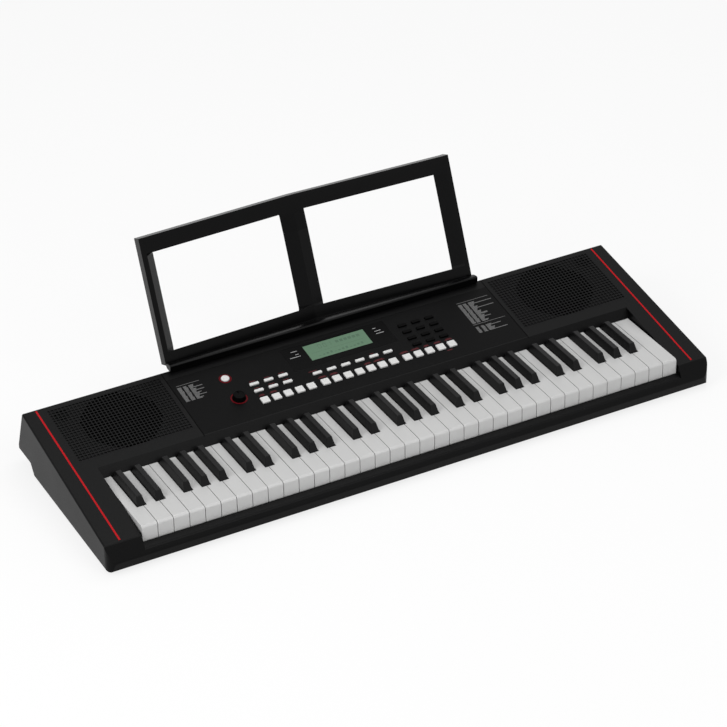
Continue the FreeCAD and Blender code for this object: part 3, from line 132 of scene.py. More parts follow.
class Graph:
    """A node tree, grown by adding nodes and linking their values."""

    def __init__(self, owner: Any) -> None:
        """Start with an empty tree.

        Args:
            owner: Material or world that the nodes belong to.
        """
        owner.use_nodes = True
        self.tree = owner.node_tree
        self.tree.nodes.clear()

    def node(self, kind: str, inputs: dict[Any, Any] | None = None, out: Any = 0,
             **settings: Any) -> Value:
        """Add a node.

        Args:
            kind: Type of shader node.
            inputs: Values or links by socket.
            out: Output to use further.
            **settings: Properties, set before the inputs.

        Returns:
            The chosen output.
        """
        made = self.tree.nodes.new("ShaderNode" + kind)
        for key, value in settings.items():
            setattr(made, key, value)
        for key, value in (inputs or {}).items():
            self._feed(made.inputs[key], value)
        return Value(self, made.outputs[out] if len(made.outputs) else None)

    def _feed(self, socket: Any, value: Any) -> None:
        """Link a value to a socket, or set a plain number or colour on it."""
        if isinstance(value, Value):
            self.tree.links.new(value.socket, socket)
        elif socket.type == "RGBA" and len(value) == 3:
            socket.default_value = (*value, 1.0)
        else:
            socket.default_value = value

    def seen(self) -> Value:
        """One for rays that show the background itself or its mirror image."""
        camera, glossy, through = [self.node("LightPath", out=f"Is {ray} Ray")
                                   for ray in ("Camera", "Glossy", "Transmission")]
        return camera.larger(glossy).larger(through)

    def mixed(self, share: Value, first: Value, second: Value) -> Value:
        """Shader between two shaders."""
        return self.node("MixShader", {0: share, 1: first, 2: second})


class Shader(Graph):
    """One material's nodes."""

    def __init__(self, name: str) -> None:
        """Start an empty material."""
        self.material = bpy.data.materials.new(name)
        super().__init__(self.material)

    def place(self, stretch: Triple = EVEN) -> Value:
        """Object coordinates, stretched along the axes."""
        spot = self.node("TexCoord", out="Object")
        return spot if stretch == EVEN else self.node("Mapping", {"Vector": spot, "Scale": stretch})

    def axis(self, number: int) -> Value:
        """One of the Object coordinates."""
        return self.node("SeparateXYZ", {0: self.place()}, number)

    def ruled(self, pitch: float) -> list[Value]:
        """Distance from the middle of a cell along X and Y, in shares of the cell."""
        return [((self.axis(number) / pitch).part() - 0.5).size() for number in range(2)]

    def noise(self, grain: float, detail: float = 2.0, stretch: Triple = EVEN) -> Value:
        """Soft noise of about a grain's size in metres, between zero and one, with finer layers."""
        return self.node("TexNoise", {"Vector": self.place(stretch), "Scale": 1.0 / grain,
                                      "Detail": detail, "Roughness": 0.55})

    def blend(self, share: Any, first: Any, second: Any) -> Value:
        """Colour between two colours, at zero the first and at one the second."""
        return self.node("Mix", {0: share, 6: first, 7: second}, 2, data_type="RGBA")

    def bump(self, height: Value, depth: float) -> Value:
        """Normal for a height in shares of a depth in metres."""
        return self.node("Bump", {"Height": height, "Distance": depth})

    def surface(self, **inputs: Any) -> Value:
        """Principled surface with the given sockets, words joined by an underscore."""
        named = {key.replace("_", " "): value for key, value in inputs.items()}
        return self.node("BsdfPrincipled", named)

    def done(self, surface: Value) -> Material:
        """Finish the material with this surface."""
        self.node("OutputMaterial", {"Surface": surface})
        return self.material


@dataclass(frozen=True)
class Mottled:
    """Surface of two tones: a fine pattern over a soft cloud."""

    name: str
    tones: tuple[Colour, Colour]
    roughness: float = 0.5
    spread: float = 0.1
    grain: float = 0.0006
    depth: float = 0.00003
    specular: float = 0.3
    metallic: float = 0.0
    detail: float = 2.0
    stretch: Triple = EVEN
    fine_share: float = 0.45
    cloud: float = 0.09
    cloud_detail: float = 2.0
    cloud_spread_share: float = 0.0

    def tone(self, shader: Shader, share: Value) -> Value:
        """Colour for a share of the second tone."""
        return shader.blend(share, *self.tones)

    def make(self) -> Material:
        """Build the material."""
        shader = Shader(self.name)
        fine = shader.noise(self.grain, self.detail, self.stretch)
        cloud = shader.noise(self.cloud, self.cloud_detail)
        share = fine * self.fine_share + cloud * (1 - self.fine_share)
        rough = fine.around(self.roughness, self.spread)
        rough = cloud.around(rough, self.spread * self.cloud_spread_share)
        return shader.done(shader.surface(
            Base_Color=self.tone(shader, share), Roughness=rough, Metallic=self.metallic,
            Specular_IOR_Level=self.specular, Normal=shader.bump(fine, self.depth)))


@dataclass(frozen=True)
class MouldedPlastic(Mottled):
    """Moulded plastic with a fine spark-eroded grain."""

    cloud_detail: float = 3.0
    cloud_spread_share: float = 1.0


@dataclass(frozen=True)
class PlatedMetal(Mottled):
    """Plated metal with drawn streaks."""

    roughness: float = 0.34
    spread: float = 0.2
    grain: float = 0.0015
    depth: float = 0.00001
    specular: float = 0.5
    metallic: float = 1.0
    detail: float = 3.0
    stretch: Triple = (1.0, 1.0, 0.1)
    fine_share: float = 0.6
    cloud: float = 0.02


@dataclass(frozen=True)
class FibreMat(Mottled):
    """Felt, foam, paper or rubber: a dull surface of short fibres or cells."""

    roughness: float = 0.9
    grain: float = 0.0012
    depth: float = 0.0002
    specular: float = 0.2
    detail: float = 4.0
    fine_share: float = 0.7
    cloud: float = 0.03


@dataclass(frozen=True)
class PrintInk(Mottled):
    """Screen-printed ink with a slightly uneven lay; the darkest one also serves as painted shadow."""

    roughness: float = 0.55
    spread: float = 0.2
    grain: float = 0.0009
    depth: float = 0.00001
    specular: float = 0.2
    detail: float = 3.0
    fine_share: float = 1.0


@dataclass(frozen=True)
class TrimPlastic(Mottled):
    """Coloured trim: bright along the ends of the case, deeper in the rings of the controls."""

    roughness: float = 0.42
    depth: float = 0.00002
    specular: float = 0.04
    fine_share: float = 0.4
    cloud: float = 0.05
    ring: Colour = (0.1, 0.0035, 0.0065)
    ends: float = 0.3

    def tone(self, shader: Shader, share: Value) -> Value:
        """Colour of the strips at the ends, and of the rings between them."""
        return shader.blend(shader.axis(0).size() > self.ends, self.ring, super().tone(shader, share))


@dataclass(frozen=True)
class KeyPlastic:
    """Polished key plastic with faint flow lines along the key."""

    name: str
    tones: tuple[Colour, Colour]
    roughness: float = 0.32
    specular: float = 0.4
    flow: float = 0.011
    flow_stretch: Triple = (1.0, 0.12, 1.0)
    cloud: float = 0.06
    grain: float = 0.0011
    depth: float = 0.00001

    def make(self) -> Material:
        """Build the material."""
        shader = Shader(self.name)
        flow = shader.noise(self.flow, 3.0, self.flow_stretch)
        fine = shader.noise(self.grain)
        share = flow * 0.5 + shader.noise(self.cloud) * 0.5
        return shader.done(shader.surface(
            Base_Color=shader.blend(share, *self.tones),
            Roughness=fine.around(flow.around(self.roughness, 0.1), 0.06),
            Specular_IOR_Level=self.specular, Normal=shader.bump(fine, self.depth)))


@dataclass(frozen=True)
class BoardMask:
    """Printed board: green mask over a grid of tracks."""

    name: str
    mask: Colour
    track: Colour
    pitch: float = 0.0051
    track_share: float = 0.09
    region: float = 0.018
    grain: float = 0.0015
    depth: float = 0.00003

    def make(self) -> Material:
        """Build the material."""
        shader = Shader(self.name)
        across, along = [far < self.track_share for far in shader.ruled(self.pitch)]
        gate = shader.noise(self.region, 1.0) > 0.5
        tracks = across * gate + along * (1 - gate)
        return shader.done(shader.surface(
            Base_Color=shader.blend(tracks, self.mask, self.track),
            Roughness=shader.noise(self.grain).around(0.4, 0.15), Normal=shader.bump(tracks, self.depth)))


@dataclass(frozen=True)
class DisplayGlass:
    """Unlit display: grey-green glass over a grid of cells."""

    name: str
    cell: Colour
    line: Colour
    pitch: float = 0.0011
    cell_share: float = 0.43
    cloud: float = 0.05

    def make(self) -> Material:
        """Build the material."""
        shader = Shader(self.name)
        across, along = [far > self.cell_share for far in shader.ruled(self.pitch)]
        cloud = shader.noise(self.cloud)
        tone = shader.blend(cloud.around(across.larger(along) * 0.5, 0.3), self.cell, self.line)
        return shader.done(shader.surface(
            Base_Color=tone, Roughness=cloud.around(0.3, 0.1), Specular_IOR_Level=0.2))


class Finish(Enum):
    """Every finish of the keyboard."""

    CASE = MouldedPlastic("case_black", greys(0.0012, 0.002, 0.0001), 0.38, specular=0.085)
    PAN = MouldedPlastic("pan_black", greys(0.001, 0.0017, 0.0001), 0.45, specular=0.055)
    PANEL = MouldedPlastic("panel_black", greys(0.001, 0.0017, 0.0001), 0.46, specular=0.054)
    REST = MouldedPlastic("rest_black", greys(0.0008, 0.0014, 0.0001), 0.26, 0.06, specular=0.09)
    WHITE_KEY = KeyPlastic("key_white", ((0.495, 0.495, 0.492), (0.555, 0.555, 0.551)))
    BLACK_KEY = MouldedPlastic("key_black", greys(0.0022, 0.0036, 0.0002), 0.36, grain=0.0009,
                               specular=0.14)
    RED = TrimPlastic("trim_red", ((0.38, 0.008, 0.012), (0.45, 0.011, 0.015)))
    WHITE_BUTTON = MouldedPlastic("button_white", greys(0.6, 0.67, -0.005), 0.45, 0.08)
    BLACK_BUTTON = MouldedPlastic("button_black", greys(0.0006, 0.001), 0.45, specular=0.03)
    WINDOW = MouldedPlastic("window_gloss", greys(0.0008, 0.0013, 0.0001), 0.22, 0.05, grain=0.002,
                            depth=0.000005, specular=0.05)
    DISPLAY = DisplayGlass("lcd_glass", (0.104, 0.19, 0.12), (0.088, 0.163, 0.102))
    KNOB = MouldedPlastic("knob_black", greys(0.001, 0.002, 0.0001), 0.38, specular=0.03)
    BOARD = BoardMask("board_green", (0.02, 0.1, 0.045), (0.045, 0.19, 0.085))
    SWITCH = MouldedPlastic("switch_plastic", greys(0.015, 0.025), spread=0.12)
    STEEL = PlatedMetal("steel", greys(0.42, 0.6, 0.01))
    MAGNET = FibreMat("magnet_iron", greys(0.03, 0.06, 0.002), 0.65, grain=0.002, depth=0.00005)
    CONE = FibreMat("cone_paper", greys(0.0006, 0.0014), grain=0.0015, specular=0.0)
    FOAM = FibreMat("foam", greys(0.0008, 0.002), grain=0.0016, depth=0.0003, specular=0.0)
    RUBBER = FibreMat("rubber", greys(0.012, 0.022), 0.75, grain=0.0008, depth=0.00005)
    SILICONE = FibreMat("silicone", greys(0.32, 0.42, -0.01), 0.6, grain=0.002, depth=0.00005)
    FELT = FibreMat("felt", greys(0.004, 0.009, 0.0002), 0.95, grain=0.0009, depth=0.0003)
    BASKET = FibreMat("basket_paint", greys(0.0008, 0.0018), 0.6, depth=0.00003, specular=0.01)
    BRASS = PlatedMetal("contact_brass", ((0.5, 0.38, 0.16), (0.7, 0.58, 0.3)), 0.3)
    CHASSIS = MouldedPlastic("chassis_plastic", greys(0.008, 0.013), 0.6, 0.12)
    CABLE = MouldedPlastic("cable", greys(0.35, 0.45), spread=0.12)
    WHITE_INK = PrintInk("white_ink", greys(0.3, 0.46))
    GREY_INK = PrintInk("grey_ink", greys(0.12, 0.21))
    RED_INK = PrintInk("red_ink", ((0.05, 0.004, 0.006), (0.11, 0.006, 0.01)))
    # Dark ink for the knob's pointer, and near-black painted shadow over the panel seams; no sheen, so the
    # seam strips read as shade.
    DARK_INK = PrintInk("dark_ink", greys(0.0004, 0.0009), 0.7, specular=0.0)
    SEGMENT = PrintInk("display_segment", ((0.066, 0.126, 0.08), (0.074, 0.139, 0.088)), 0.35)

    @cached_property
    def material(self) -> Material:
        """Material of this finish, made at its first use."""
        return self.value.make()


def clear() -> None:
    """Leave edit mode with nothing selected."""
    if bpy.context.object and bpy.context.object.mode != "OBJECT":
        bpy.ops.object.mode_set(mode="OBJECT")
    bpy.ops.object.select_all(action="DESELECT")


def edit(kind: str = "FACE") -> None:
    """Enter edit mode with nothing selected, on faces, edges or vertices."""
    bpy.ops.object.mode_set(mode="EDIT")
    bpy.ops.mesh.select_mode(type=kind)
    bpy.ops.mesh.select_all(action="DESELECT")


def pick_all() -> None:
    """Select the whole mesh, in edit mode."""
    bpy.ops.mesh.select_all(action="SELECT")


@contextmanager
def reading() -> Iterator[None]:
    """Leave edit mode for a block that reads the mesh or selects in it by number."""
    bpy.ops.object.mode_set(mode="OBJECT")
    yield
    bpy.ops.object.mode_set(mode="EDIT")


def start(add: Callable[..., Any], size: Triple, spot: Triple = ORIGIN, **details: int) -> Piece:
    """Begin a piece as a simple shape, with all of it selected in edit mode.

    Args:
        add: Operator that adds the shape.
        size: Its lengths along the axes.
        spot: Its middle.
        **details: Further settings of the operator.

    Returns:
        The new piece.
    """
    clear()
    add(size=1.0, location=ORIGIN, **details)
    piece = bpy.context.object
    edit()
    pick_all()
    bpy.ops.transform.resize(value=size, center_override=ORIGIN)
    bpy.ops.transform.translate(value=spot)
    return piece


def extend(add: Callable[..., Any], size: Triple, spot: Triple) -> None:
    """Add a simple shape of a given size and middle to the mesh, and select only that."""
    add(size=1.0, location=spot)
    bpy.ops.transform.resize(value=size, center_override=spot)


def pick(piece: Piece, chosen: Iterable[int], kind: str = "polygons") -> None:
    """Select the faces, edges or vertices with the chosen numbers, in edit mode.

    Args:
        piece: Object in edit mode.
        chosen: Numbers of what is selected.
        kind: polygons, edges or vertices.
    """
    bpy.ops.mesh.select_all(action="DESELECT")
    with reading():
        items = getattr(piece.data, kind)
        for number in chosen:
            items[number].select = True


def faces(piece: Piece, on: Callable[[Any], bool]) -> list[int]:
    """Numbers of the faces that pass a test, in edit mode."""
    with reading():
        return [face.index for face in piece.data.polygons if on(face)]


def points(piece: Piece) -> list[tuple[int, Vector]]:
    """Number and place of every vertex, in edit mode."""
    with reading():
        return [(vertex.index, vertex.co.copy()) for vertex in piece.data.vertices]


def rim(piece: Piece, on: Callable[[Vector], bool]) -> list[int]:
    """Edges of one face only, whose both ends pass a test.

    Args:
        piece: Object in edit mode.
        on: Test of a vertex's place.

    Returns:
        Numbers of the edges.
    """
    with reading():
        used = Counter(key for face in piece.data.polygons for key in face.edge_keys)
        ends = piece.data.vertices
        return [edge.index for edge in piece.data.edges
                if used[edge.key] == 1 and all(on(ends[number].co) for number in edge.vertices)]


def push(way: Triple) -> None:
    """Extrude what is selected along a line."""
    bpy.ops.mesh.extrude_region_move(TRANSFORM_OT_translate={"value": way})


def modify(piece: Piece, kind: str, **settings: Any) -> None:
    """Leave edit mode and apply a modifier.

    Args:
        piece: Object that gets it.
        kind: Type of modifier.
        **settings: Its properties.
    """
    bpy.ops.object.mode_set(mode="OBJECT")
    modifier = piece.modifiers.new(kind.lower(), kind)
    for key, value in settings.items():
        setattr(modifier, key, value)
    bpy.ops.object.modifier_apply(modifier=modifier.name)


def settle(piece: Piece, name: str, where: Matrix, angle: float = 35.0) -> Piece:
    """Put a finished mesh in its place, with its object at the origin.

    Args:
        piece: Object with its mesh drawn flat.
        name: Name of the piece.
        where: Place in the frame of the part.
        angle: Edges sharper than this many degrees stay sharp.

    Returns:
        The piece.
    """
    clear()
    piece.name = name
    piece.data.name = name
    piece.select_set(True)
    bpy.context.view_layer.objects.active = piece
    bpy.ops.object.transform_apply()
    piece.matrix_world = where
    bpy.ops.object.transform_apply()
    bpy.ops.object.shade_smooth_by_angle(angle=math.radians(angle))
    return piece


def dress(piece: Piece, finish: Finish, body: str) -> None:
    """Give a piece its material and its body."""
    piece.data.materials.clear()
    piece.data.materials.append(finish.material)
    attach(piece, body)
    LOG.info("%s: %d faces, rides %s", piece.name, len(piece.data.polygons), body)


def on_panel(x: float = 0.0, s: float = 0.0, lift: float = 0.0) -> Matrix:
    """Place on the sloped panel: X along the keys, Y up the slope, Z out of the face."""
    face = Matrix.Translation(PANEL_FRONT) @ Matrix.Rotation(PANEL_SLOPE, 4, "X")
    return face @ Matrix.Translation((x, s, lift))


@dataclass
class SpeakerGrille:
    """Perforated plate: open square holes before the speaker, dimples elsewhere.

    Each row of the port has its number and its first and last column, from the speaker's middle.
    """

    side: Side
    inner: float = 0.2662
    outer: float = 0.4417
    front: float = 0.0183
    rear: float = 0.1372
    pitch: float = 0.0054
    hole: float = 0.0039
    dimple: float = 0.001
    plate: float = 0.0009
    lift: float = 0.00006
    speaker: Place = (0.3504, 0.0766)
    columns: int = 32
    rows: int = 21
    open_reach: float = 10.5
    port: tuple[tuple[int, int, int], ...] = ((9, 12, 14), (8, 12, 15), (7, 12, 15), (6, 13, 14))

    def is_open(self, spot: Vector) -> bool:
        """Whether a hole at this place from the speaker's middle goes through."""
        column = round(spot.x * self.side.value / self.pitch)
        row = round(spot.y / self.pitch)
        in_port = any(row == at and low <= column <= high for at, low, high in self.port)
        return in_port or math.hypot(column, row) < self.open_reach

    def spread(self, low: float, high: float, half: float, middle: float) -> tuple[float, float]:
        """Scale and fixed point that carry the edges of a grid to those of the plate."""
        scale = (high - low) / (2 * half)
        return scale, (low + scale * (half - middle)) / (1 - scale)

    def build(self) -> Piece:
        """Model the plate.

        Returns:
            The grille.
        """
        sign = self.side.value
        x, s = self.speaker
        half_x = self.columns * self.pitch / 2
        half_s = self.rows * self.pitch / 2
        aside = (1 - self.columns % 2) * self.pitch / 2
        plate = start(bpy.ops.mesh.primitive_grid_add, (2 * half_x, 2 * half_s, 1.0),
                      (aside * sign, 0.0, 0.0), x_subdivisions=self.columns, y_subdivisions=self.rows)
        bpy.ops.mesh.inset(thickness=(self.pitch - self.hole) / 2, use_individual=True)
        dimples = faces(plate, lambda face: face.select and not self.is_open(face.center))
        opened = faces(plate, lambda face: face.select and self.is_open(face.center))
        pick(plate, dimples)
        push((0.0, 0.0, -self.dimple))
        pick(plate, opened)
        bpy.ops.mesh.delete(type="FACE")
        bpy.ops.mesh.select_mode(type="EDGE")
        border = rim(plate, lambda p: (abs(abs(p.x - aside * sign) - half_x) < NEAR
                                       or abs(abs(p.y) - half_s) < NEAR))
        pick(plate, border, "edges")
        bpy.ops.mesh.extrude_region_move()
        scale_x, fixed_x = self.spread(self.inner - x, self.outer - x, half_x, aside)
        scale_s, fixed_s = self.spread(self.front - s, self.rear - s, half_s, 0.0)
        bpy.ops.transform.resize(value=(scale_x, scale_s, 1.0),
                                 center_override=(fixed_x * sign, fixed_s, 0.0))
        modify(plate, "SOLIDIFY", thickness=self.plate, offset=-1.0)
        return settle(plate, self.side.name.lower() + "_grille_plate", on_panel(x * sign, s, self.lift))


@dataclass
class VolumeKnob:
    """Knob with grip flutes, a dished crown and a pointer line."""

    spot: Place = (-0.1821, 0.05)
    foot: float = 0.0096
    top: float = 0.0086
    height: float = 0.0074
    lift: float = 0.0004
    flutes: int = 36
    flute_rim: float = 0.00018
    flute_depth: float = 0.00025
    flute_top_share: float = 0.75
    edge: float = 0.0009
    crown_rim: float = 0.0011
    dish: float = 0.0004
    pointer: Triple = (0.0016, 0.0036, 0.0003)
    pointer_edge: float = 0.0001
    pointer_reach: float = 0.0042
    level: float = 0.99
    steep: float = 0.3

    def crown(self, knob: Piece) -> list[int]:
        """Numbers of the faces that look straight up."""
        return faces(knob, lambda face: face.normal.z > self.level)

    def is_flute(self, face: bpy.types.MeshPolygon) -> bool:
        """Whether a face is one of every second strip of the wall."""
        x, y, z = face.center
        strip = math.floor(math.atan2(y, x) / math.pi * self.flutes)
        low = z < self.height * self.flute_top_share
        return low and abs(face.normal.z) < self.steep and strip % 2 == 0

    def build(self) -> Piece:
        """Model the knob.

        Returns:
            The knob.
        """
        clear()
        bpy.ops.mesh.primitive_cylinder_add(vertices=2 * self.flutes, radius=self.foot, depth=self.height,
                                            location=(0.0, 0.0, self.height / 2))
        knob = bpy.context.object
        bpy.ops.object.transform_apply()
        edit()
        crown = self.crown(knob)
        pick(knob, crown)
        share = self.top / self.foot
        bpy.ops.transform.resize(value=(share, share, 1.0), center_override=(0.0, 0.0, self.height))
        pick(knob, crown)
        bpy.ops.mesh.bevel(offset=self.edge, segments=3, affect="EDGES")
        pick(knob, self.crown(knob))
        bpy.ops.mesh.inset(thickness=self.crown_rim)
        push((0.0, 0.0, -self.dish))
        pick(knob, faces(knob, self.is_flute))
        bpy.ops.mesh.inset(thickness=self.flute_rim, use_individual=True)
        bpy.ops.transform.shrink_fatten(value=-self.flute_depth)
        return settle(knob, "fluted_knob", on_panel(*self.spot, self.lift))

    def build_pointer(self) -> Piece:
        """Model the pointer line on the crown.

        Returns:
            The pointer.
        """
        line = start(bpy.ops.mesh.primitive_cube_add, self.pointer)
        bpy.ops.mesh.bevel(offset=self.pointer_edge, segments=2, affect="EDGES")
        x, s = self.spot
        lift = self.lift + self.height - self.dish
        return settle(line, "knob_pointer", on_panel(x, s + self.pointer_reach, lift))


@dataclass(frozen=True)
class Bar:
    """One printed bar on the panel: its middle and its size."""

    x: float
    s: float
    width: float
    depth: float


@dataclass
class PrintSheet:
    """Printed bars of one ink, or strips of painted shadow, as thin raised pads on one face."""

    name: str
    finish: Finish
    slot: str
    bars: list[Bar]
    thickness: float = 0.00006
    lift: float = 0.0

    def build(self) -> Piece:
        """Model all bars as one mesh.

        Returns:
            The sheet of bars.
        """
        plane = bpy.ops.mesh.primitive_plane_add
        (size, spot), *others = [((bar.width, bar.depth, 1.0), (bar.x, bar.s, 0.0)) for bar in self.bars]
        sheet = start(plane, size, spot)
        for size, spot in others:
            extend(plane, size, spot)
        pick_all()
        push((0.0, 0.0, self.thickness))
        pick_all()
        bpy.ops.mesh.normals_make_consistent(inside=False)
        return settle(sheet, self.name, on_panel(lift=self.lift))


@dataclass(frozen=True)
class PrintTable:
    """Rule over two even columns and a ragged one, like a list too small to read."""

    rule: Triple
    columns: Sequence[Place]
    reach: Place
    long_lines: Sequence[Place]
    seed: int
    pitch: float = 0.00175
    rule_depth: float = 0.0006
    line_share: float = 0.58
    even_share: float = 0.82
    ragged_share: float = 0.55

    def length(self, row: int, column: int) -> float:
        """Length of one line of the list, before the long ones."""
        least = self.even_share if column < 2 else self.ragged_share
        step = (row * 7 + column * 3 + self.seed * 5) % 6 / 5
        return self.columns[column][1] * (least + (1 - least) * step)

    def bars(self) -> list[Bar]:
        """Bars of the rule and of every row.

        Returns:
            The bars.
        """
        low, high, place = self.rule
        found = [Bar((low + high) / 2, place, high - low, self.rule_depth)]
        first, last = self.reach
        for row in range(int((last - first) / self.pitch) + 1):
            s = first + row * self.pitch
            for column, (x, width) in enumerate(self.columns):
                length = self.length(row, column)
                if column == 2:
                    ends = [end for at, end in self.long_lines if abs(at - s) <= self.pitch / 2]
                    length = max([length] + [end - x for end in ends])
                found.append(Bar(x + length / 2, s, length, self.pitch * self.line_share))
        return found


@dataclass
class PanelPrint:
    """Generic print on the control panel: plain bars where lists and labels stand, and strips of painted
    shadow over the seams at its ends.
    """

    square_row: float = 0.0314
    square_pitch: float = 0.01828
    square_start: float = 0.0773
    small_row: float = 0.0532
    small_pitch: float = 0.02275
    small_rows: float = 0.015
    small_start: float = -0.1495
    square_gap: float = 0.0118
    small_gap: float = 0.0062
    white_depth: float = 0.001
    red_depth: float = 0.0011
    line_gap: float = 0.0009
    line_aside: float = 0.0006
    second_share: float = 0.72
    # Painted shadow: a near-black strip over each end seam, standing in for the shade in the gap.
    painted_seam_shadow: Bar = Bar(0.26035, 0.0688, 0.0009, 0.1404)
    painted_seam_shadow_height: float = 0.00008

    def tables(self) -> list[PrintTable]:
        """Lists at both ends of the control panel."""
        return [PrintTable((-0.2528, -0.2171, 0.1074),
                           ((-0.2532, 0.0066), (-0.2445, 0.0063), (-0.236, 0.0085)), (0.0731, 0.1037),
                           ((0.097, -0.2165), (0.0913, -0.2168), (0.0797, -0.2178), (0.0855, -0.2235),
                            (0.0742, -0.225)), 1),
                PrintTable((0.2004, 0.253, 0.1072),
                           ((0.2005, 0.0061), (0.2082, 0.0065), (0.2169, 0.0105)), (0.0588, 0.103),
                           ((0.0991, 0.2545), (0.0884, 0.2523), (0.0766, 0.235), (0.0749, 0.2345),
                            (0.0671, 0.2362), (0.0604, 0.2285)), 2),
                PrintTable((0.1994, 0.2529, 0.0553),
                           ((0.2, 0.0054), (0.2088, 0.0056), (0.2168, 0.0115)), (0.037, 0.0508),
                           ((0.0469, 0.2414), (0.0375, 0.2465)), 4)]

    def white_bars(self) -> list[Bar]:
        """Labels beside the display."""
        rows = ((-0.0667, 0.1078, 0.0098), (-0.0649, 0.1009, 0.0058), (-0.0699, 0.0962, 0.017),
                (0.0633, 0.1075, 0.005), (0.0658, 0.1012, 0.01), (0.067, 0.0955, 0.0125))
        return [Bar(x, s, width, self.white_depth) for x, s, width in rows]

    def grey_bars(self) -> list[Bar]:
        """All lines of the lists."""
        return [bar for table in self.tables() for bar in table.bars()]

    def red_bars(self) -> list[Bar]:
        """Red labels behind some of the buttons."""
        bars = []
        deep = self.red_depth
        behind = self.square_row + self.square_gap
        right = [self.square_start + i * self.square_pitch for i in range(5)]
        left = [-x for x in right]
        middle = [(i - 3) * self.square_pitch for i in range(7)]
        for x, width in ((left[4], 0.0085), (left[3], 0.0115), (middle[0], 0.013), (middle[1], 0.0125),
                         (middle[4], 0.0115), (middle[5], 0.0175), (right[0], 0.014), (right[1], 0.0135),
                         (right[2], 0.0085), (right[3], 0.0115), (right[4], 0.0115)):
            bars.append(Bar(x, behind - self.line_gap, width, deep))
            bars.append(Bar(x + self.line_aside, behind + self.line_gap, width * self.second_share, deep))
        bars.append(Bar(right[4] - 0.0087, 0.0213, 0.0085, 0.0014))
        small = self.small_row + self.small_gap
        bars.append(Bar(-2.5 * self.small_pitch - 0.0045, small, 0.013, deep))
        bars.append(Bar(-1.5 * self.small_pitch + 0.068, small, 0.006, 0.0009))
        for i in range(3):
            x = self.small_start + i * self.small_pitch
            bars.append(Bar(x, small, 0.0085 + 0.001 * (i % 2), deep))
            bars.append(Bar(x, small + self.small_rows, 0.0095 - 0.001 * (i % 2), deep))
        return bars

    def painted_seam_shadow_bars(self) -> list[Bar]:
        """Painted shadow: near-black strips laid over the seam gaps along both ends of the control panel."""
        return [replace(self.painted_seam_shadow, x=side.value * self.painted_seam_shadow.x) for side in Side]

    def sheets(self) -> list[PrintSheet]:
        """All sheets of print on the panel, and the sheet of painted shadow over its seams."""
        return [PrintSheet("white_panel_print", Finish.WHITE_INK, "button_white", self.white_bars()),
                PrintSheet("grey_panel_print", Finish.GREY_INK, "button_white", self.grey_bars()),
                PrintSheet("red_panel_print", Finish.RED_INK, "trim_red", self.red_bars()),
                # Painted shadow over the seam gaps, not print.
                PrintSheet("painted_seam_shadows", Finish.DARK_INK, "panel_black", self.painted_seam_shadow_bars(),
                           self.painted_seam_shadow_height)]


@dataclass
class DisplayMarks:
    """Dark segments on the display: plain digits, blocks and level bars.

    Rows start at a place from the lower left corner of the display.
    """

    middle: float = -0.0015
    front: float = 0.0802
    width: float = 0.0986
    sink: float = 0.0006
    thickness: float = 0.00004
    digits: Place = (0.022, 0.0205)
    digit_size: Place = (0.0042, 0.0078)
    digit_pitch: float = 0.0078
    stroke: float = 0.0008
    upright_share: float = 0.36
    blocks: Place = (0.052, 0.0245)
    block_size: Place = (0.0048, 0.0052)
    block_pitch: float = 0.0068
    levels: Place = (0.016, 0.0052)
    level_width: float = 0.0034
    level_pitch: float = 0.0062
    level_least: float = 0.0012
    level_step: float = 0.0011
    rule: Triple = (0.0148, 0.086, 0.0004)

    def digit(self, x: float, s: float, lit: str) -> list[Bar]:
        """Segments of one digit.

        Args:
            x: Low side.
            s: Lower edge.
            lit: Letters of the segments that show.

        Returns:
            The bars.
        """
        w, h = self.digit_size
        t = self.stroke
        tall = h * self.upright_share
        segments = {"a": Bar(x + w / 2, s + h, w, t), "b": Bar(x + w, s + h * 0.75, t, tall),
                    "c": Bar(x + w, s + h * 0.25, t, tall), "d": Bar(x + w / 2, s, w, t),
                    "e": Bar(x, s + h * 0.25, t, tall), "f": Bar(x, s + h * 0.75, t, tall)}
        return [segments[letter] for letter in lit]

    def sheet(self) -> PrintSheet:
        """All segments of the display."""
        low = self.middle - self.width / 2
        bars: list[Bar] = []
        for i, lit in enumerate(("abcdef", "abcdef", "bc")):
            bars += self.digit(low + self.digits[0] + i * self.digit_pitch, self.front + self.digits[1], lit)
        for i in range(6):
            bars.append(Bar(low + self.blocks[0] + i * self.block_pitch, self.front + self.blocks[1],
                            *self.block_size))
        for i in range(12):
            level = self.level_least + self.level_step * ((i * 5) % 4)
            bars.append(Bar(low + self.levels[0] + i * self.level_pitch,
                            self.front + self.levels[1] + level / 2, self.level_width, level))
        place, width, depth = self.rule
        bars.append(Bar(self.middle, self.front + place, width, depth))
        return PrintSheet("display_segments", Finish.SEGMENT, "lcd_glass", bars, self.thickness, -self.sink)


@dataclass(frozen=True)
class WindowEdge:
    """Upright edge of a window in the music rest: where it starts and how far it slopes back."""

    x: float
    shift: float
    depth: float


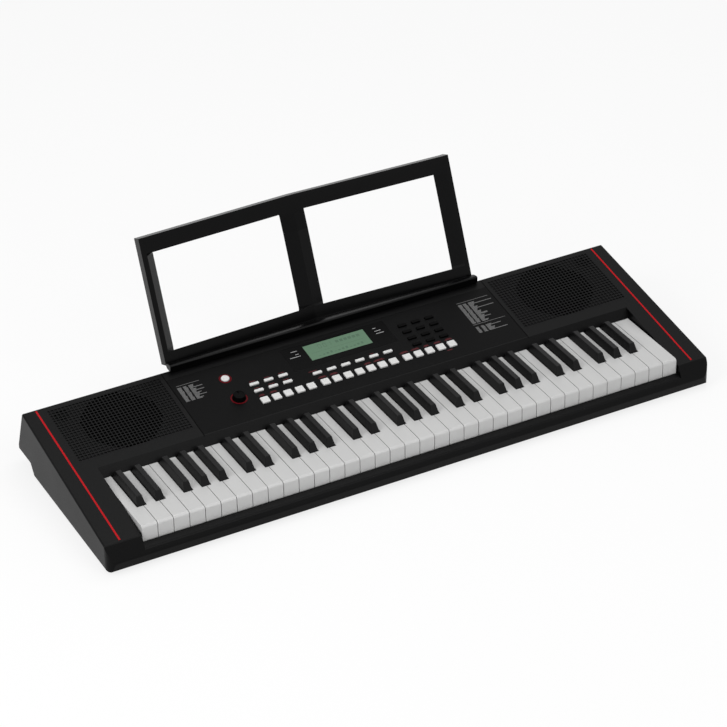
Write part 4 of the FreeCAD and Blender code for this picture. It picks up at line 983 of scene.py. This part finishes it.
@dataclass
class MusicRest:
    """Shell of the music rest: posts that slope back to two windows, deep ends and a trough.

    The section of the trough is in Y and Z: its floor from the face, a round nose and the underside.
    """

    left: float = -0.2474
    right: float = 0.2529
    middle: float = 0.004
    left_ridge: float = -0.2392
    right_ridge: float = 0.2445
    bow: float = 0.0256
    height: float = 0.1852
    lean: float = math.radians(22.5)
    foot_y: float = 0.100191
    foot_z: float = 0.0970984
    foot_reach: float = 0.0025
    window: Place = (0.0185, 0.1613)
    edges: tuple[WindowEdge, ...] = (
        WindowEdge(-0.2301, 0.0053, 0.0127), WindowEdge(-0.0207, 0.0044, 0.0095),
        WindowEdge(0.0194, 0.0042, 0.0095), WindowEdge(0.2238, 0.0017, 0.0035))
    turn: float = 0.003
    long_turn: float = 0.03
    depth: float = 0.0168
    end_fall: float = 0.0022
    sheet: float = 0.0014
    section: tuple[Place, ...] = (
        (0.0996, 0.1006), (0.0965, 0.102), (0.0935, 0.103), (0.0905, 0.1037), (0.088, 0.104),
        (0.0867, 0.1039), (0.0861, 0.10373), (0.08568, 0.10346), (0.08535, 0.10309), (0.08513, 0.10264),
        (0.08504, 0.10215), (0.0855, 0.0938), (0.097, 0.0938))
    cheek: float = 0.003
    tab: Triple = (0.2208, 0.087441, 0.08943)
    tab_size: Triple = (0.04, 0.0026, 0.016)
    edge: float = 0.0004
    edge_angle: float = 78.0
    crease: float = 10.0

    def set_back(self, x: float) -> float:
        """How far the bow carries the face back at a place along it."""
        reach = self.middle - self.left if x < self.middle else self.right - self.middle
        return self.bow * (1.0 - abs(x - self.middle) / reach)

    def draw(self) -> Piece:
        """Draw the face flat, cut it into posts and beams and open the windows.

        Returns:
            The flat face, X along the keys and Y up the face.
        """
        shell = start(bpy.ops.mesh.primitive_plane_add, (self.right - self.left, self.height, 1.0),
                      ((self.left + self.right) / 2, self.height / 2, 0.0))
        low, high = self.window
        sides = [edge.x for edge in self.edges]
        columns = [self.left_ridge, self.middle, self.right_ridge] + sides
        rows = [low, low + self.turn, low + self.long_turn, high - self.long_turn, high - self.turn, high]
        for way, cuts in ((Vector((1.0, 0.0, 0.0)), columns), (Vector((0.0, 1.0, 0.0)), rows)):
            for cut in cuts:
                pick_all()
                bpy.ops.mesh.bisect(plane_co=way * cut, plane_no=way)
        pick(shell, faces(shell, lambda face: low < face.center.y < high and (
            sides[0] < face.center.x < sides[1] or sides[2] < face.center.x < sides[3])))
        bpy.ops.mesh.delete(type="FACE")
        return shell

    def shift(self, shell: Piece, chosen: Iterable[int], way: Triple) -> None:
        """Move the chosen vertices."""
        pick(shell, chosen, "vertices")
        bpy.ops.transform.translate(value=way)

    def slope_posts(self, shell: Piece) -> None:
        """Carry the upright edges of the windows back, less and less towards the beams."""
        low, high = self.window
        for edge in self.edges:
            turn = self.turn if edge is self.edges[0] else self.long_turn
            rows: dict[float, list[int]] = {}
            for number, spot in points(shell):
                if abs(spot.x - edge.x) < NEAR and low + NEAR < spot.y < high - NEAR:
                    share = min(1.0, (spot.y - low) / self.turn, (high - spot.y) / turn)
                    rows.setdefault(round(share, 4), []).append(number)
            for share, numbers in rows.items():
                self.shift(shell, numbers, (edge.shift * share, 0.0, -edge.depth * share))

    def form(self, shell: Piece) -> None:
        """Slope the posts, turn the ends and the top back and bow the whole face."""
        bpy.ops.mesh.select_mode(type="VERT")
        self.slope_posts(shell)
        end = [number for number, spot in points(shell) if spot.x > self.right - NEAR]
        self.shift(shell, end, (0.0, 0.0, -self.end_fall))
        bpy.ops.mesh.select_mode(type="EDGE")
        outer = rim(shell, lambda p: p.x < self.left + NEAR)
        outer += rim(shell, lambda p: p.x > self.right - NEAR)
        outer += rim(shell, lambda p: p.y > self.height - NEAR)
        pick(shell, outer, "edges")
        push((0.0, 0.0, -self.depth))
        bpy.ops.mesh.select_mode(type="VERT")
        places: dict[float, list[int]] = {}
        for number, spot in points(shell):
            places.setdefault(round(spot.x, 5), []).append(number)
        for x, numbers in places.items():
            self.shift(shell, numbers, (0.0, 0.0, -self.set_back(x)))

    def at_foot(self, spot: Vector) -> bool:
        """Whether a place lies on the lower edge of the face."""
        back = self.set_back(spot.x)
        y = self.foot_y + back * math.cos(self.lean)
        z = self.foot_z - back * math.sin(self.lean)
        return abs(spot.y - y) < self.foot_reach and abs(spot.z - z) < self.foot_reach

    def trough(self, shell: Piece) -> None:
        """Draw the trough from the foot of the face and close its ends."""
        pick(shell, rim(shell, self.at_foot), "edges")
        bpy.ops.mesh.extrude_region_move()
        bpy.ops.transform.resize(value=(1.0, 0.0, 0.0), center_override=(0.0, *self.section[0]))
        for (y, z), (far_y, far_z) in zip(self.section, self.section[1:]):
            push((0.0, far_y - y, far_z - z))
        top = max(z for y, z in self.section)
        for x in (self.left, self.right):
            bpy.ops.mesh.select_mode(type="EDGE")
            cheek = rim(shell, lambda p: (abs(p.x - x) < NEAR and p.y < self.foot_y + self.cheek
                                          and p.z < top + NEAR))
            pick(shell, cheek, "edges")
            bpy.ops.mesh.edge_face_add()

    def build(self) -> Piece:
        """Model the rest.

        Returns:
            The rest with its trough and tabs.
        """
        shell = self.draw()
        self.form(shell)
        bpy.ops.object.mode_set(mode="OBJECT")
        upright = Matrix.Rotation(math.pi / 2 - self.lean, 4, "X")
        shell.matrix_world = Matrix.Translation((0.0, self.foot_y, self.foot_z)) @ upright
        bpy.ops.object.transform_apply()
        edit("EDGE")
        self.trough(shell)
        modify(shell, "SOLIDIFY", thickness=self.sheet, offset=-1.0)
        edit()
        x, y, z = self.tab
        for side in Side:
            extend(bpy.ops.mesh.primitive_cube_add, self.tab_size, (x * side.value, y, z))
        modify(shell, "BEVEL", width=self.edge, segments=2, limit_method="ANGLE",
               angle_limit=math.radians(self.edge_angle))
        return settle(shell, "music_rest_shell", Matrix.Identity(4), self.crease)


@dataclass
class CoverGrip:
    """Raised grip ridges on the battery cover."""

    ridges: int = 7
    pitch: float = 0.0026
    length: float = 0.024
    width: float = 0.0013
    height: float = 0.0006
    edge_share: float = 0.4
    sink_share: float = 0.1
    margin: float = 0.008

    def build(self) -> Piece:
        """Model one ridge and copy it along the cover.

        Returns:
            The ridges.
        """
        low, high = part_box("battery_cover")
        grip = start(bpy.ops.mesh.primitive_cube_add, (self.length, self.width, self.height))
        bpy.ops.mesh.bevel(offset=self.height * self.edge_share, segments=2, affect="EDGES")
        modify(grip, "ARRAY", count=self.ridges, use_relative_offset=False, use_constant_offset=True,
               constant_offset_displace=(0.0, self.pitch, 0.0))
        spot = ((low.x + high.x) / 2, low.y + self.margin, low.z - self.height * self.sink_share)
        return settle(grip, "cover_grip", Matrix.Translation(spot))


@dataclass
class CadDress:
    """Finishes of the carried-over nodes."""

    plain: dict[Finish, Sequence[str]] = field(default_factory=lambda: {
        Finish.CASE: ["upper_case"], Finish.PAN: ["lower_case", "battery_cover"],
        Finish.PANEL: ["control_panel"], Finish.RED: ["red_trim_inlays"],
        Finish.WINDOW: ["display_window"], Finish.DISPLAY: ["lcd_panel"],
        Finish.BOARD: ["switch_board", "key_contact_boards", "main_board", "socket_board"],
        Finish.SWITCH: ["push_switches", "audio_jacks", "dc_inlet"],
        Finish.STEEL: ["volume_pot", "volume_shaft", "usb_socket", "case_screws", "inner_screws"],
        Finish.CHASSIS: ["key_chassis"], Finish.SILICONE: ["key_contact_rubber"],
        Finish.FELT: ["key_stop_felts"], Finish.BASKET: ["speaker_baskets"],
        Finish.CONE: ["speaker_cones"], Finish.MAGNET: ["speaker_magnets"],
        Finish.FOAM: ["speaker_gaskets"], Finish.BRASS: ["battery_contacts"],
        Finish.RUBBER: ["rubber_feet"], Finish.CABLE: ["ribbon_cable"],
        Finish.BLACK_BUTTON: ["number_buttons"]})

    def finish_of(self, node: str) -> Finish:
        """Finish of a node by its name."""
        for finish, nodes in self.plain.items():
            if node in nodes:
                return finish
        if node.endswith(("_button", "_buttons")):
            return Finish.WHITE_BUTTON
        return Finish.BLACK_KEY if "sharp" in node else Finish.WHITE_KEY

    def dress(self, nodes: dict[str, Piece]) -> None:
        """Give every shown node its material.

        Args:
            nodes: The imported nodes.
        """
        for name, node in nodes.items():
            if node.hide_render:
                continue
            material = self.finish_of(name).material
            if not node.material_slots:
                node.data.materials.append(material)
            for slot in node.material_slots:
                slot.material = material


@dataclass(frozen=True)
class Softbox:
    """Square soft light: where it stands, what it faces, its side and its watts."""

    name: str
    spot: Triple
    aim: Triple
    size: float
    power: float

    def build(self) -> None:
        """Add the light to the scene."""
        data = bpy.data.lights.new(self.name, "AREA")
        data.size = self.size
        data.energy = self.power
        lamp = bpy.data.objects.new(self.name, data)
        bpy.context.scene.collection.objects.link(lamp)
        turn = (Vector(self.aim) - Vector(self.spot)).to_track_quat("-Z", "Y")
        lamp.matrix_world = Matrix.Translation(self.spot) @ turn.to_matrix().to_4x4()


@dataclass
class Studio:
    """Pale floor, soft lights and the camera at the photograph's angle."""

    eye: Triple = (-1.65742, -3.195989, 2.33895)
    azimuth: float = math.radians(-27.630)
    elevation: float = math.radians(32.130)
    roll: float = math.radians(-1.147)
    lens: float = 147.715
    sensor: float = 36.0
    far: float = 60.0
    floor_size: float = 30.0
    floor_cloud: float = 0.6
    floor_glow: float = 0.8
    daylight: float = 0.45
    lamps: tuple[Softbox, ...] = (
        Softbox("left_softbox", (-2.6, -0.6, 1.9), (0.0, -0.05, 0.05), 1.8, 42.0),
        Softbox("front_softbox", (0.4, -2.6, 2.4), (0.0, -0.05, 0.05), 2.0, 30.0),
        Softbox("top_softbox", (0.5, 0.4, 3.0), (0.0, 0.0, 0.05), 2.2, 26.0))

    def camera(self) -> None:
        """Set the camera where the photograph was taken from."""
        data = bpy.data.cameras.new("camera")
        data.lens = self.lens
        data.sensor_width = self.sensor
        data.clip_end = self.far
        camera = bpy.data.objects.new("camera", data)
        bpy.context.scene.collection.objects.link(camera)
        where = Matrix.Translation(self.eye)
        for angle, axis in ((self.azimuth, "Z"), (math.pi / 2 - self.elevation, "X"), (self.roll, "Z")):
            where = where @ Matrix.Rotation(angle, 4, axis)
        camera.matrix_world = where
        bpy.context.scene.camera = camera

    def floor(self) -> None:
        """Add the pale floor, which is nearly white to the camera and keeps a soft shadow."""
        clear()
        bpy.ops.mesh.primitive_plane_add(size=self.floor_size, location=ORIGIN)
        floor = bpy.context.object
        floor.name = "studio_floor"
        shader = Shader("studio_floor")
        tone = shader.blend(shader.noise(self.floor_cloud), *greys(0.86, 0.9))
        dull = shader.surface(Base_Color=tone, Roughness=0.9, Specular_IOR_Level=0.0)
        glow = shader.node("Emission", {"Color": WHITE, "Strength": 1.0})
        floor.data.materials.append(shader.done(shader.mixed(shader.seen() * self.floor_glow, dull, glow)))

    def world(self) -> None:
        """White to the camera, and a plain soft grey as light."""
        world = bpy.data.worlds.new("studio")
        bpy.context.scene.world = world
        graph = Graph(world)
        light, white = [graph.node("Background", {"Color": WHITE, "Strength": strength})
                        for strength in (self.daylight, 1.0)]
        graph.node("OutputWorld", {"Surface": graph.mixed(graph.seen(), light, white)})

    def build(self) -> None:
        """Set the whole studio."""
        self.floor()
        self.world()
        for lamp in self.lamps:
            lamp.build()
        self.camera()
        bpy.context.scene.view_settings.view_transform = "Standard"


def main() -> None:
    """Build the pieces in order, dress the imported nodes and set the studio."""
    logging.basicConfig(level=logging.INFO, format="%(name)s: %(message)s")
    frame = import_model()
    for side in Side:
        plate = SpeakerGrille(side).build()
        dress(plate, Finish.CASE, "case")
        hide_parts(side.name.lower() + "_speaker_grille")
    dial = VolumeKnob()
    knob = dial.build()
    dress(knob, Finish.KNOB, "volume_knob")
    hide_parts("volume_knob")
    dress(dial.build_pointer(), Finish.DARK_INK, "volume_knob")
    for sheet in PanelPrint().sheets() + [DisplayMarks().sheet()]:
        dress(sheet.build(), sheet.finish, "case")
    stand = MusicRest().build()
    dress(stand, Finish.REST, "music_rest")
    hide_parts("music_rest")
    dress(CoverGrip().build(), Finish.PAN, "battery_cover")
    CadDress().dress(frame["nodes"])
    Studio().build()


if __name__ == "__main__":
    main()
